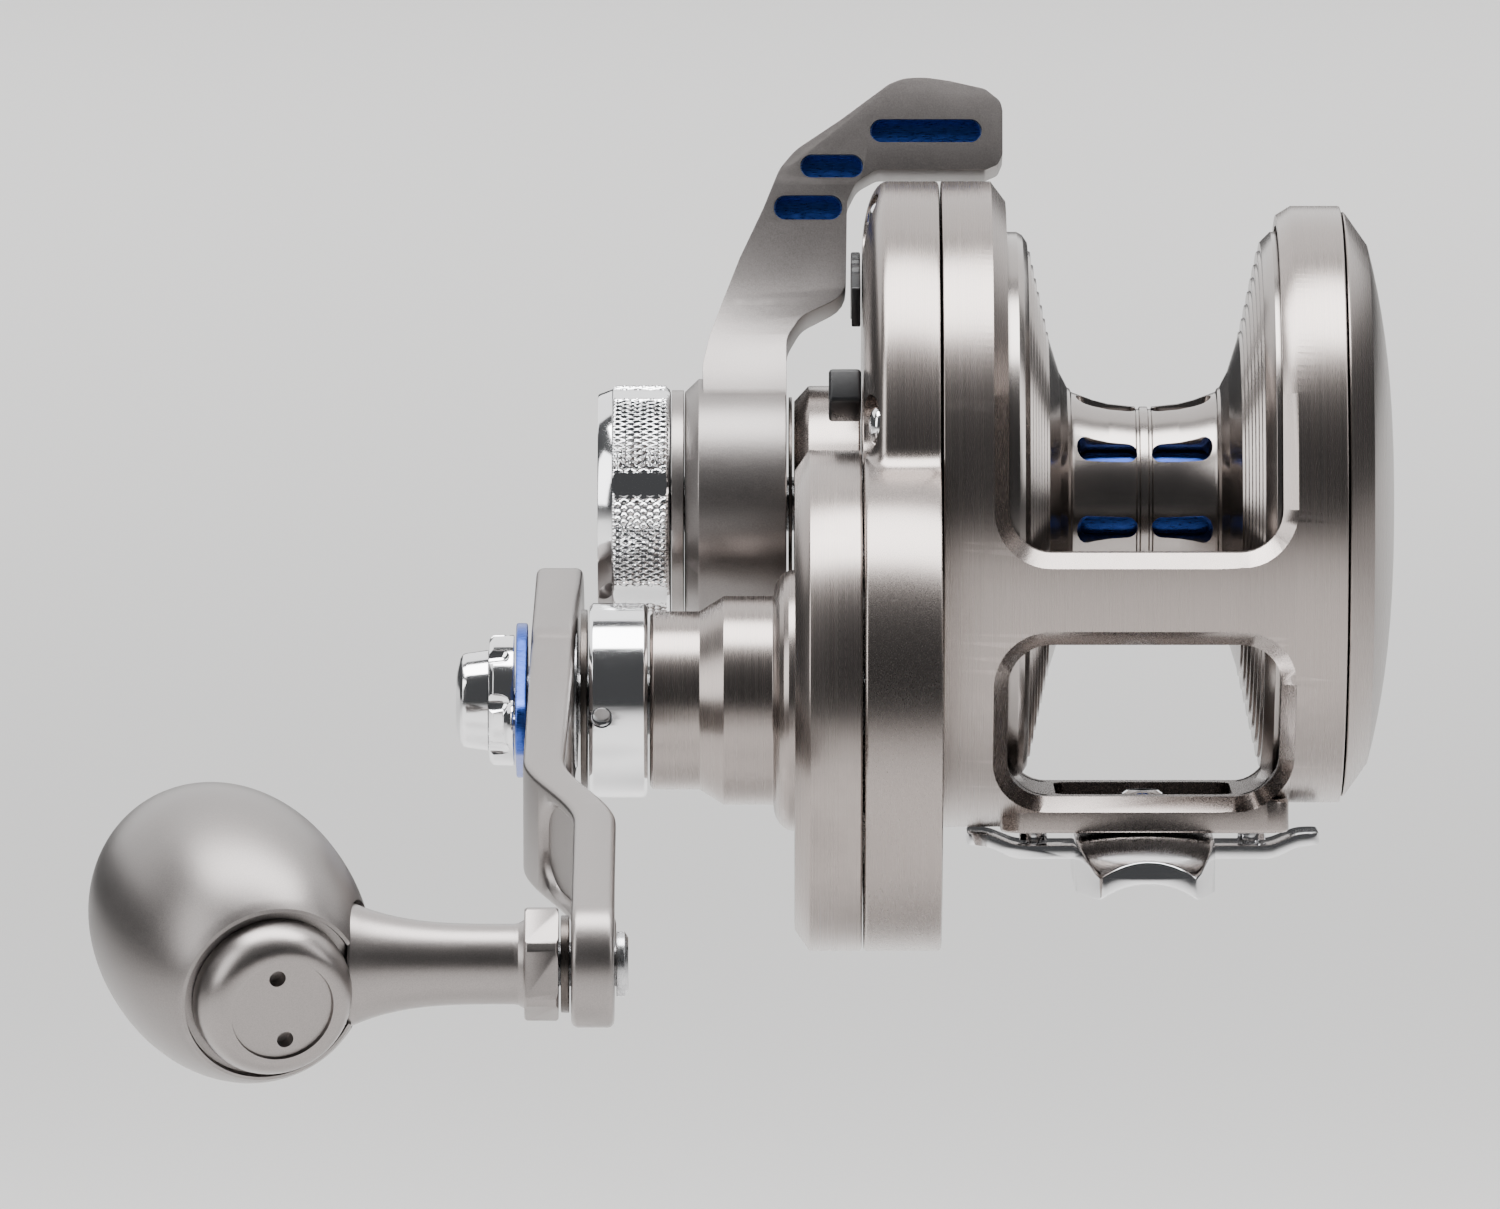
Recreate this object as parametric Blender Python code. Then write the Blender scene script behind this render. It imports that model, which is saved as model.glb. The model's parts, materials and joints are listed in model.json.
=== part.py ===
"""Two-speed lever-drag trolling reel, built as separate solids on their real axes.

Metres, +Z up.  The origin is on the rod seat under the foot, X runs from the handle side
(-X) to the palm side (+X), and -Y is the side that the line leaves from.
"""
import math

import bmesh
import bpy
from mathutils import Matrix, Vector

MM = 0.001
GAP = 0.3                       # clearance between neighbouring solids, mm

# Driving dimensions, millimetres.
SPOOL_AXIS = (0.0, 51.0)        # (y, z) of the spool shaft
HANDLE_AXIS = (-35.2, 25.55)    # (y, z) of the crank shaft
CRANK_DROP = math.radians(15.35)  # the arm points forward and this much below level
LEVER_LEAN = math.radians(16)   # the drag lever leans back from upright

RING_RADIUS = 46.1              # handle-side ring of the frame, and its side plate
RIM_RADIUS = 42.6               # palm-side ring
WAIST_START = 13.0              # the wall falls from one radius to the other over this stretch
WAIST_END = 20.6
FRAME_BORE = 39.8
RING_LEFT = -28.9
RING_RIGHT = 28.0
WINDOW_LEFT = -19.7
WINDOW_RIGHT = 18.9
WINDOW_CORNER = 6.0
UPPER_WINDOW_TOP = 24.0         # above this height the frame is open right across
CHAMFER_WIDTH = 2.1
CHAMFER_DEEP = 2.8              # depth of the window chamfer in the wall, and near the palm side
CHAMFER_SHALLOW = 1.3
BAR_TOP = -4.1                  # front and rear bars, measured from the spool axis
BAR_BOTTOM = -17.3
DECK_TOP = -41.0
DECK_BOTTOM = -45.8
DECK_HALF_LENGTH = 17.0

SIDE_FACE = -40.1               # outer face of the handle-side plate
SIDE_BACK = RING_LEFT - GAP
RAIL_RADIUS = 36.0              # outer edge of the lever's rail and strike stop
EDGE_WIDTH = 3.5                # elliptical outer edge of the plate, along X and inward
EDGE_DROP = 10.1
SCREW_CIRCLE = 41.4             # rim screws of the side plate
SCREW_FIRST = 161.0             # direction of the first, degrees
LOBE_RADIUS = 35.3              # gear case around the crank shaft
LID_FACE = -49.8
LID_BACK = SIDE_FACE - GAP
BOSS_RADIUS = 16.9
BOSS_FACE = -49.6
NOSE_RADIUS = 12.55
NOSE_FACE = -70.2

FLANGE_RADIUS = 38.9
FLANGE_LEFT = -18.3
FLANGE_RIGHT = 19.1
ARBOR_RADIUS = 13.9
SLOT_COUNT = 8                  # slots round the arbor, in two rows
SLOT_FIRST = math.radians(10)
SLOT_ROW = 5.1
SLOT_HALF_LENGTH = 4.1
SLOT_HALF_WIDTH = 1.45

SHAFT_RADIUS = 3.9
SLEEVE_RADIUS = 7.5
CRANK_SHAFT_RADIUS = 4.8

MODULE = 1.4                    # both gear pairs share one centre distance
TOOTH_RISE = 0.8                # tooth height above and below the pitch circle, in modules
TOOTH_DEPTH = 1.1
ROOT_HALF = 1.38                # half width of a tooth at its root and its tip
TIP_HALF = 0.5
HIGH_GEAR_TEETH = 46
HIGH_PINION_TEETH = 16
LOW_GEAR_TEETH = 42
LOW_PINION_TEETH = 20
HIGH_PAIR = (-46.5, -42.0)
LOW_PAIR = (-39.0, -34.5)

ARM_THROW = 106.0               # crank shaft to grip spindle
ARM_OUTER = -87.5              # outer face of the arm where it bends
ARM_THICKNESS = 5.8
ARM_HALF_WIDTH = 8.6
ARM_HUB_RADIUS = 11.0
ARM_TAIL = 35.8
TAIL_RADIUS = 10.2
TAIL_HOLES = (15.6, 27.0)       # spare places for the crank shaft, shorter throws
TAIL_LEAN_OUTER = 1.15          # the arm leans in and thickens toward the tail by this much
TAIL_LEAN_INNER = 2.0
JOG_START = 47.0
JOG_END = 72.0
JOG_DEPTH = 7.25
LOCK_FACE = -87.4               # arm-side face of the lock plate
LOCK_PLACE = (-13.8, 1.4)       # its screw, in the arm's plane

GRIP_LENGTH = 56.4              # long axis of the egg before its ends are cut flat
GRIP_RADIUS = 18.15
GRIP_BLUNTNESS = 2.16           # 2 would be an ellipsoid
GRIP_CENTRE_X = -126.7
GRIP_OFFSET = 10.1              # the spindle meets the egg this far ahead of its middle
GRIP_TWIST = math.asin(0.298)   # the egg's axis swings this far out of the crank plane
GRIP_TILT = math.radians(20.3)  # and points this far below level
GRIP_SEAM = 20.7                # where the end caps begin, from the middle
GRIP_END = 26.0

LEVER_ROOT = 10.0               # heights between which the blade thins
LEVER_FADE = 46.0
LEVER_THIN = 3.6                # half thickness of its head, and what the root adds to it
LEVER_SPREAD = 11.2
LEVER_CURVE = 3.2

FOOT_STATIONS = (               # distance along the rod, half width, top, saddle drop, arch of the top
    (42.0, 6.7, 3.3, 2.2, 2.3),
    (38.0, 7.8, 3.8, 2.4, 2.0),
    (20.0, 9.9, 4.9, 3.0, 0.6),
)
STUD_REACH = 15.6               # clamp studs from the middle of the foot
WING_FLAT = 18.0
WING_RISE = 22.0
WING_TIP = 25.2
WING_HALF_WIDTH = 6.5

PRESET_RADIUS = 17.0
PRESET_FACE = -77.8

CUT_REACH = 12.0                # how far cutting tools run past the surface
TOP_START = math.radians(14)    # the open top's cutter runs from this angle to the same behind
TOP_STEPS = 32

BIG = 40                        # facets on large, middling, small and tiny round pieces
MID = 24
SMALL = 16
TINY = 10


def clear_scene():
    for item in list(bpy.data.objects):
        bpy.data.objects.remove(item)


def finish_material(name, colour, roughness, metallic):
    material = bpy.data.materials.new(name)
    material.use_nodes = True
    shader = material.node_tree.nodes["Principled BSDF"]
    shader.inputs["Base Color"].default_value = (*colour, 1.0)
    shader.inputs["Roughness"].default_value = roughness
    shader.inputs["Metallic"].default_value = metallic
    return material


FINISHES = {
    "grey_anodised": ((0.42, 0.39, 0.38), 0.34, 1.0),
    "blasted_grey": ((0.30, 0.28, 0.285), 0.50, 1.0),
    "chrome": ((0.75, 0.75, 0.76), 0.08, 1.0),
    "blue_anodised": ((0.03, 0.10, 0.42), 0.28, 1.0),
    "black_plastic": ((0.015, 0.015, 0.016), 0.45, 0.0),
    "bronze": ((0.20, 0.15, 0.11), 0.35, 1.0),
    "steel": ((0.45, 0.45, 0.46), 0.28, 1.0),
    "carbon": ((0.02, 0.02, 0.022), 0.60, 0.0),
}


def axis_empty(name, place, turn=0.0):
    """An empty on a shaft's axis: its children are modelled around their own zero."""
    empty = bpy.data.objects.new(name, None)
    bpy.context.scene.collection.objects.link(empty)
    empty.location = (0.0, place[0] * MM, place[1] * MM)
    empty.rotation_euler.x = turn
    return empty


def add_object(name, mesh_data, finish, parent=None):
    """Close a bmesh off as one smooth-shaded object under its parent."""
    bmesh.ops.recalc_face_normals(mesh_data, faces=mesh_data.faces)
    bmesh.ops.scale(mesh_data, vec=(MM, MM, MM), verts=mesh_data.verts)
    mesh = bpy.data.meshes.new(name)
    mesh_data.to_mesh(mesh)
    mesh_data.free()
    mesh.shade_smooth()
    mesh.set_sharp_from_angle(angle=math.radians(30))
    piece = bpy.data.objects.new(name, mesh)
    bpy.context.scene.collection.objects.link(piece)
    piece.parent = parent
    if finish is not None:
        mesh.materials.append(MATERIALS[finish])
    return piece


def turned_mesh(profile, segments, centre=(0.0, 0.0)):
    """Revolve (x, radius) points about X.  A profile that starts and ends on the axis
    makes a solid with flat or pointed ends, any other closes on itself as a ring."""
    data = bmesh.new()
    solid = profile[0][1] == 0.0 and profile[-1][1] == 0.0
    flat_start = solid and profile[0][0] == profile[1][0]
    flat_end = solid and profile[-1][0] == profile[-2][0]
    points = profile[(1 if flat_start else 0):(len(profile) - 1 if flat_end else len(profile))]
    rings = []
    for x, radius in points:
        loop = []
        for step in range(segments if radius > 0.0 else 1):
            angle = 2.0 * math.pi * step / segments
            y = centre[0] + radius * math.cos(angle)
            z = centre[1] + radius * math.sin(angle)
            loop.append(data.verts.new((x, y, z)))
        rings.append(loop)
    if flat_start:
        data.faces.new(rings[0])
    if flat_end:
        data.faces.new(rings[-1])
    pairs = list(zip(rings, rings[1:]))
    if not solid:
        pairs.append((rings[-1], rings[0]))
    for first, second in pairs:
        for step in range(segments):
            after = (step + 1) % segments
            corners = [first[step % len(first)], first[after % len(first)]]
            corners += [second[after % len(second)], second[step % len(second)]]
            unique = list(dict.fromkeys(corners))
            if len(unique) > 2:
                data.faces.new(unique)
    return data


def turned(name, profile, finish, segments=MID, parent=None, centre=(0.0, 0.0)):
    return add_object(name, turned_mesh(profile, segments, centre), finish, parent)


def rod(start, end, radius, chamfer=0.0):
    """Profile of a solid bar between two stations, both ends chamfered."""
    if chamfer == 0.0:
        return [(start, 0.0), (start, radius), (end, radius), (end, 0.0)]
    small = radius - chamfer
    left = [(start, 0.0), (start, small), (start + chamfer, radius)]
    return left + [(end - chamfer, radius), (end, small), (end, 0.0)]


def ring(start, end, inner, outer, chamfer=0.0):
    """Profile of a washer, bush or bearing between two stations."""
    if chamfer == 0.0:
        return [(start, inner), (start, outer), (end, outer), (end, inner)]
    edge = [(start, outer - chamfer), (start + chamfer, outer)]
    edge += [(end - chamfer, outer), (end, outer - chamfer)]
    return [(start, inner)] + edge + [(end, inner)]


def prism_mesh(outline, start, end, axis="X"):
    """Extrude an outline along X (y, z points), Y (x, z points) or Z (x, y points)."""
    loops = []
    for station in (start, end):
        if axis == "X":
            loops.append([(station, a, b) for a, b in outline])
        elif axis == "Y":
            loops.append([(a, station, b) for a, b in outline])
        else:
            loops.append([(a, b, station) for a, b in outline])
    return skinned_mesh(loops)


def skinned_mesh(rings):
    """Closed skin over rings of (x, y, z) places that all have the same count."""
    data = bmesh.new()
    loops = [[data.verts.new(place) for place in ring] for ring in rings]
    count = len(loops[0])
    for first, second in zip(loops, loops[1:]):
        for index in range(count):
            after = (index + 1) % count
            data.faces.new((first[index], first[after], second[after], second[index]))
    data.faces.new(loops[0])
    data.faces.new(loops[-1])
    return data


def arc(centre, radius, start, end, steps):
    """Points on a circle, from one angle to another in degrees, both ends included."""
    points = []
    for step in range(steps + 1):
        angle = math.radians(start + (end - start) * step / steps)
        points.append((centre[0] + radius * math.cos(angle), centre[1] + radius * math.sin(angle)))
    return points


def rounded_box(left, right, bottom, top, corner, steps=4):
    """Outline of a rectangle with round corners, counter-clockwise."""
    outline = arc((right - corner, bottom + corner), corner, -90, 0, steps)
    outline += arc((right - corner, top - corner), corner, 0, 90, steps)
    outline += arc((left + corner, top - corner), corner, 90, 180, steps)
    outline += arc((left + corner, bottom + corner), corner, 180, 270, steps)
    return outline


def boolean(target, tool, operation="DIFFERENCE"):
    """Cut or join one object with another, which then stays behind as a wire guide."""
    modifier = target.modifiers.new(tool.name, "BOOLEAN")
    modifier.operation = operation
    modifier.solver = "EXACT"
    modifier.object = tool
    tool.hide_render = True
    tool.display_type = "WIRE"


def cut_turned(target, name, profile, segments=MID, parent=None, centre=(0.0, 0.0)):
    boolean(target, turned(name, profile, None, segments, parent, centre))


def join_turned(target, name, profile, segments=MID, parent=None, centre=(0.0, 0.0)):
    boolean(target, turned(name, profile, None, segments, parent, centre), "UNION")


def upright(name, profile, finish, segments, place):
    """A turned piece whose axis stands along Z at an (x, y) place."""
    data = turned_mesh(profile, segments)
    turn = Matrix.Rotation(math.radians(-90), 3, "Y")
    bmesh.ops.rotate(data, matrix=turn, verts=data.verts)
    bmesh.ops.translate(data, vec=(place[0], place[1], 0.0), verts=data.verts)
    return add_object(name, data, finish)


def cut_prism(target, name, outline, start, end, axis="X", parent=None):
    boolean(target, add_object(name, prism_mesh(outline, start, end, axis), None, parent))


def wall_share(x):
    """How far the frame's wall has fallen toward the palm-side ring at x, from 0 to 1."""
    return min(1.0, max(0.0, (x - WAIST_START) / (WAIST_END - WAIST_START)))


def wall_radius(x):
    return RING_RADIUS + (RIM_RADIUS - RING_RADIUS) * wall_share(x)


def chamfer_radius(x):
    """Radius at the bottom of the window chamfer that starts on the wall at x."""
    return wall_radius(x) - CHAMFER_DEEP + (CHAMFER_DEEP - CHAMFER_SHALLOW) * wall_share(x)


def cut_window(frame, name, bottom, top, side):
    """Cut a window and its chamfer through the front (-1) or rear (1) of the frame's wall."""
    inner = rounded_box(WINDOW_LEFT, WINDOW_RIGHT, bottom, top, WINDOW_CORNER)
    outer = rounded_box(WINDOW_LEFT - CHAMFER_WIDTH, WINDOW_RIGHT + CHAMFER_WIDTH, bottom - CHAMFER_WIDTH,
                        top + CHAMFER_WIDTH, WINDOW_CORNER + CHAMFER_WIDTH)
    loops = [[], [], [], []]
    for (x, z), (wide_x, wide_z) in zip(inner, outer):
        surface = math.sqrt(wall_radius(wide_x) ** 2 - wide_z ** 2)
        floor = math.sqrt(chamfer_radius(wide_x) ** 2 - z ** 2)
        loops[0].append((wide_x, side * (surface + CUT_REACH), wide_z))
        loops[1].append((wide_x, side * surface, wide_z))
        loops[2].append((x, side * floor, z))
        loops[3].append((x, 0.0, z))
    boolean(frame, add_object(name, skinned_mesh(loops), None, SPOOL))


def cut_open_top(frame):
    """Open the frame over the spool, from the front bar to the rear bar, with the same chamfer."""
    left = WINDOW_LEFT - CHAMFER_WIDTH
    right = WINDOW_RIGHT + CHAMFER_WIDTH
    outside = RING_RADIUS + CUT_REACH
    section = [(left, outside), (left, wall_radius(left)), (WINDOW_LEFT, chamfer_radius(left))]
    section += [(WINDOW_LEFT, CUT_REACH), (WINDOW_RIGHT, CUT_REACH)]
    section += [(WINDOW_RIGHT, chamfer_radius(right)), (right, wall_radius(right)), (right, outside)]
    loops = []
    for step in range(TOP_STEPS + 1):
        angle = TOP_START + (math.pi - 2.0 * TOP_START) * step / TOP_STEPS
        loops.append([(x, r * math.cos(angle), r * math.sin(angle)) for x, r in section])
    boolean(frame, add_object("open_top", skinned_mesh(loops), None, SPOOL))


def make_frame():
    """One-piece open-top frame: two rings, a front and a rear bar, and a deck for the foot."""
    shell = [(RING_LEFT, RING_RADIUS), (WAIST_START, RING_RADIUS), (WAIST_END, RIM_RADIUS)]
    shell += [(RING_RIGHT, RIM_RADIUS), (RING_RIGHT, 36.0), (20.6, 36.0), (20.6, FRAME_BORE)]
    shell += [(-26.4, FRAME_BORE), (-26.4, 13.0), (RING_LEFT, 13.0)]
    frame = turned("frame", shell, "grey_anodised", BIG, SPOOL)
    deck = rounded_box(-20.5, 20.5, -DECK_HALF_LENGTH, DECK_HALF_LENGTH, 2.0, 2)
    deck_block = add_object("deck_block", prism_mesh(deck, DECK_BOTTOM, DECK_TOP, "Z"), None, SPOOL)
    boolean(frame, deck_block, "UNION")
    cut_open_top(frame)
    for side, word in ((-1, "front"), (1, "rear")):
        cut_window(frame, f"upper_window_{word}", BAR_TOP, UPPER_WINDOW_TOP, side)
        cut_window(frame, f"lower_window_{word}", DECK_TOP + GAP, BAR_BOTTOM, side)
    left = WINDOW_LEFT - CHAMFER_WIDTH
    right = WINDOW_RIGHT + CHAMFER_WIDTH
    pad = [(left, -24.0), (right, -24.0), (right, 24.0), (left, 24.0)]
    cut_prism(frame, "flat_underside", pad, DECK_BOTTOM - CUT_REACH, DECK_BOTTOM, "Z", SPOOL)
    recess = rounded_box(-12.6, 12.6, -11.0, 11.0, 2.5, 3)
    cut_prism(frame, "deck_recess", recess, DECK_TOP - 1.6, DECK_TOP + 3.0, "Z", SPOOL)
    screw_hole = arc((0.0, 0.0), 2.3, 0, 330, 11)
    cut_prism(frame, "deck_screw_hole", screw_hole, DECK_BOTTOM - 1.0, DECK_TOP, "Z", SPOOL)


def side_edge():
    """Outer half of the handle-side plate's profile, with its long elliptical edge."""
    points = [(SIDE_BACK, 0.0), (SIDE_BACK, RING_RADIUS)]
    for step in range(5):
        angle = math.radians(90) * step / 4
        x = SIDE_FACE + EDGE_WIDTH - EDGE_WIDTH * math.sin(angle)
        points.append((x, RING_RADIUS - EDGE_DROP + EDGE_DROP * math.cos(angle)))
    return points + [(SIDE_FACE, 0.0)]


def cover_screw_places():
    """Angles of the side plate's rim screws; the gear lobe takes the other two places."""
    return [math.radians(SCREW_FIRST - 60.0 * step) for step in range(4)]


def make_gear_housing():
    """Side plate with its gear lobe, the lid over it with the crank's nose, and fasteners."""
    plate = turned("gear_side_plate", side_edge(), "grey_anodised", BIG, SPOOL)
    lobe = rod(SIDE_FACE + 0.1, SIDE_BACK - 0.1, LOBE_RADIUS)
    join_turned(plate, "plate_lobe", lobe, BIG, CRANK_BASE)
    cut_turned(plate, "low_gear_room", rod(-31.0, -60.0, 31.2), BIG, CRANK_BASE)
    cut_turned(plate, "low_pinion_room", rod(-31.3, -62.0, 15.8), MID, SPOOL)
    cut_turned(plate, "sleeve_hole", rod(-20.0, -64.0, SLEEVE_RADIUS + 1.0), SMALL, SPOOL)
    for index, angle in enumerate(cover_screw_places()):
        place = (SCREW_CIRCLE * math.cos(angle), SCREW_CIRCLE * math.sin(angle))
        notch = [(-37.4, 0.0), (-37.4, 4.5), (-50.0, 4.5), (-50.0, 0.0)]
        cut_turned(plate, f"screw_notch_{index + 1}", notch, SMALL, SPOOL, place)
        dome = [(-39.5, 0.0), (-39.2, 1.7), (-38.6, 2.6), (-37.7, 2.9), (-37.7, 0.0)]
        turned(f"cover_screw_{index + 1}", dome, "chrome", TINY, SPOOL, place)

    face = [(LID_BACK, 0.0), (LID_BACK, LOBE_RADIUS), (LID_FACE + 2.0, LOBE_RADIUS)]
    face += [(LID_FACE, LOBE_RADIUS - 2.8), (LID_FACE, 0.0)]
    lid = turned("gear_case_lid", face, "grey_anodised", BIG, CRANK_BASE)
    boss = [(LID_BACK, 0.0), (LID_BACK, BOSS_RADIUS), (BOSS_FACE + 1.0, BOSS_RADIUS)]
    boss += [(BOSS_FACE, BOSS_RADIUS - 1.0), (BOSS_FACE, 0.0)]
    join_turned(lid, "spool_boss", boss, MID, SPOOL)
    nose = [(-48.6, 0.0), (-48.6, 17.0), (-50.2, 17.0), (-52.2, 14.7), (-59.8, 14.7)]
    nose += [(-63.2, NOSE_RADIUS), (-69.7, NOSE_RADIUS), (NOSE_FACE, 12.0), (NOSE_FACE, 0.0)]
    join_turned(lid, "crank_nose", nose, MID, CRANK_BASE)
    cut_turned(lid, "high_gear_room", rod(-47.9, -30.0, 33.7), BIG, CRANK_BASE)
    cut_turned(lid, "high_pinion_room", rod(-47.6, -31.0, 13.9), MID, SPOOL)
    cut_turned(lid, "crank_bore", rod(-82.0, -32.0, CRANK_SHAFT_RADIUS + 0.5), SMALL, CRANK_BASE)
    cut_turned(lid, "nose_bearing_seat", rod(-80.0, -64.6, 9.8), MID, CRANK_BASE)
    cut_turned(lid, "spool_shaft_bore", rod(-84.0, -33.0, SHAFT_RADIUS + 0.4), SMALL, SPOOL)
    nose_ring = ring(NOSE_FACE + 0.6, -64.9, CRANK_SHAFT_RADIUS + GAP, 9.5)
    turned("nose_bearing", nose_ring, "steel", SMALL, CRANK_BASE)

    stop = arc((0.0, 0.0), RAIL_RADIUS, 144, 152.5, 3) + arc((0.0, 0.0), 28.5, 152.5, 144, 3)
    add_object("strike_stop", prism_mesh(stop, -45.0, SIDE_FACE - GAP), "black_plastic", SPOOL)
    quadrant = arc((0.0, 0.0), RAIL_RADIUS, 60, 118, 9) + arc((0.0, 0.0), 29.5, 118, 60, 9)
    rail = prism_mesh(quadrant, SIDE_FACE - 1.6, SIDE_FACE - GAP)
    add_object("lever_quadrant", rail, "black_plastic", SPOOL)


def make_palm_side():
    """Domed palm plate, hollow inside, with the far bearing of the spool shaft."""
    dome = [(35.7, 0.0), (35.5, 12.0), (34.9, 22.0), (33.8, 30.0), (31.9, 37.1)]
    edge = [(RING_RIGHT + GAP, RIM_RADIUS - 0.4), (RING_RIGHT + GAP, 35.6), (25.8, 35.6)]
    hollow = [(25.8, 33.4), (31.0, 33.4), (32.0, 12.0), (21.2, 12.0), (21.2, 8.3)]
    plate = dome + edge + hollow + [(31.0, 8.3), (31.0, 0.0)]
    turned("palm_side_plate", plate, "grey_anodised", BIG, SPOOL)
    bearing = ring(21.6, 25.6, SHAFT_RADIUS + GAP, 8.0)
    turned("palm_bearing", bearing, "steel", SMALL, SPOOL)


def foot_section(half_width, top, drop, crown):
    """Cross-section of the foot: arched top, and a hollow saddle with a flat middle facet."""
    facets = 7
    saddle = []
    for step in range(facets + 1):
        place = -1.0 + 2.0 * step / facets
        depth = drop * max(0.0, abs(place) - 1.0 / facets) ** 1.6 / (1.0 - 1.0 / facets) ** 1.6
        saddle.append((place * half_width, -depth))
    arch = [(half_width * place, top - crown * place * place) for place in (1.0, 0.5, -0.5, -1.0)]
    return arch + saddle


def make_foot():
    """Reel foot on the rod seat, with the wings and studs that take a rod clamp."""
    loops = []
    for y, half_width, top, drop, crown in FOOT_STATIONS:
        loops.append([(x, -y, z) for x, z in foot_section(half_width, top, drop, crown)])
    for y, half_width, top, drop, crown in reversed(FOOT_STATIONS):
        loops.append([(x, y, z) for x, z in foot_section(half_width, top, drop, crown)])
    foot = add_object("reel_foot", skinned_mesh(loops), "chrome")
    wing = [(-WING_TIP, 4.4), (-WING_RISE, 4.2), (-WING_FLAT, 2.6), (WING_FLAT, 2.6), (WING_RISE, 4.2)]
    wing += [(WING_TIP, 4.4), (WING_TIP, 2.7), (WING_RISE, 2.4), (WING_FLAT + 0.4, 0.7)]
    wing += [(-WING_FLAT - 0.4, 0.7), (-WING_RISE, 2.4), (-WING_TIP, 2.7)]
    wings = add_object("foot_wings", prism_mesh(wing, -WING_HALF_WIDTH, WING_HALF_WIDTH, "Y"), None)
    boolean(foot, wings, "UNION")
    hole = arc((0.0, 0.0), 1.3, 0, 330, 11)
    cut_prism(foot, "foot_screw_hole", hole, 1.0, 9.0, "Z")
    head = SPOOL_AXIS[1] + DECK_TOP - 1.6 + GAP
    screw = [(1.3, 0.0), (1.3, 1.0), (head, 1.0), (head, 3.0), (head + 1.0, 3.0)]
    upright("foot_screw", screw + [(head + 1.4, 2.0), (head + 1.4, 0.0)], "chrome", TINY, (0.0, 0.0))
    for side, word in ((-1, "left"), (1, "right")):
        place = (side * STUD_REACH, 0.0)
        ring_hole = arc(place, 1.5, 0, 330, 11)
        cut_prism(foot, f"stud_hole_{word}", ring_hole, -5.0, 9.0, "Z")
        stud = [(0.9, 0.0), (0.9, 1.1), (4.9, 1.1), (4.9, 0.0)]
        upright(f"clamp_stud_{word}", stud, "chrome", TINY, place)
        nut = [(2.9, 1.4), (2.9, 2.0), (4.7, 2.0), (4.7, 1.4)]
        upright(f"clamp_nut_{word}", nut, "chrome", SMALL, place)


def lever_outline():
    """Side outline of the lever above its hub, (x, height above the spool axis)."""
    outline = [(-62.6, LEVER_ROOT), (-62.9, 18.5), (-61.9, 23.2), (-60.2, 28.2), (-57.6, 35.2)]
    outline += [(-54.2, 42.6), (-51.9, 48.4), (-49.6, 51.2), (-43.3, 55.5), (-36.2, 60.9)]
    outline += [(-34.0, 61.8), (-31.1, 61.9), (-27.6, 61.4), (-22.4, 60.2), (-20.2, 58.4)]
    outline += [(-19.9, 57.0), (-19.9, 50.6), (-20.6, 49.0), (-22.4, 48.2), (-38.0, 48.2)]
    outline += [(-40.8, 46.6), (-42.2, 43.8), (-42.4, 29.6), (-48.8, 26.4), (-50.9, 23.0)]
    return outline + [(-50.9, LEVER_ROOT)]


def lever_half_thickness(height):
    """The blade grows out of the hub's round flank and thins toward its head."""
    fade = min(1.0, max(0.0, (LEVER_FADE - height) / (LEVER_FADE - LEVER_ROOT)))
    return LEVER_THIN + LEVER_SPREAD * fade ** LEVER_CURVE


def make_drag_lever():
    """Lever, its cam and washers; the lever turns about the spool shaft."""
    hub = [(-65.4, 9.9), (-65.4, 16.0), (-63.4, 17.9), (-50.9, 17.9), (-50.9, 9.9)]
    lever = turned("drag_lever", hub, "blasted_grey", BIG, LEVER)
    data = prism_mesh(lever_outline(), -1.0, 1.0, "Y")
    for height in (14.0, 18.0, 22.0, 27.0, 33.0, 40.0, LEVER_FADE):
        faces = data.verts[:] + data.edges[:] + data.faces[:]
        bmesh.ops.bisect_plane(data, geom=faces, plane_co=(0.0, 0.0, height), plane_no=(0.0, 0.0, 1.0))
    for vertex in data.verts:
        vertex.co.y *= lever_half_thickness(vertex.co.z)
    boolean(lever, add_object("lever_blade", data, None, LEVER), "UNION")
    cam = ring(-63.0, -52.0, SHAFT_RADIUS + GAP, 9.6, 0.4)
    turned("lever_cam", cam, "steel", SMALL, LEVER)
    turned("lever_washer", ring(-50.6, -50.1, 9.0, 15.3), "bronze", MID, LEVER)


def make_preset_knob():
    """Knob on the shaft's threaded end that sets the drag's strike value."""
    knob = [(PRESET_FACE, 0.0), (PRESET_FACE, PRESET_RADIUS - 1.4), (PRESET_FACE + 2.2, PRESET_RADIUS)]
    knob += [(-67.9, PRESET_RADIUS), (-67.4, 16.5), (-67.4, SHAFT_RADIUS + GAP)]
    knob += [(-74.3, SHAFT_RADIUS + GAP), (-74.3, 0.0)]
    turned("preset_knob", knob, "chrome", BIG, PRESET)
    turned("preset_washer", ring(-66.6, -65.7, SHAFT_RADIUS + GAP, 15.3), "bronze", MID, LEVER)


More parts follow.
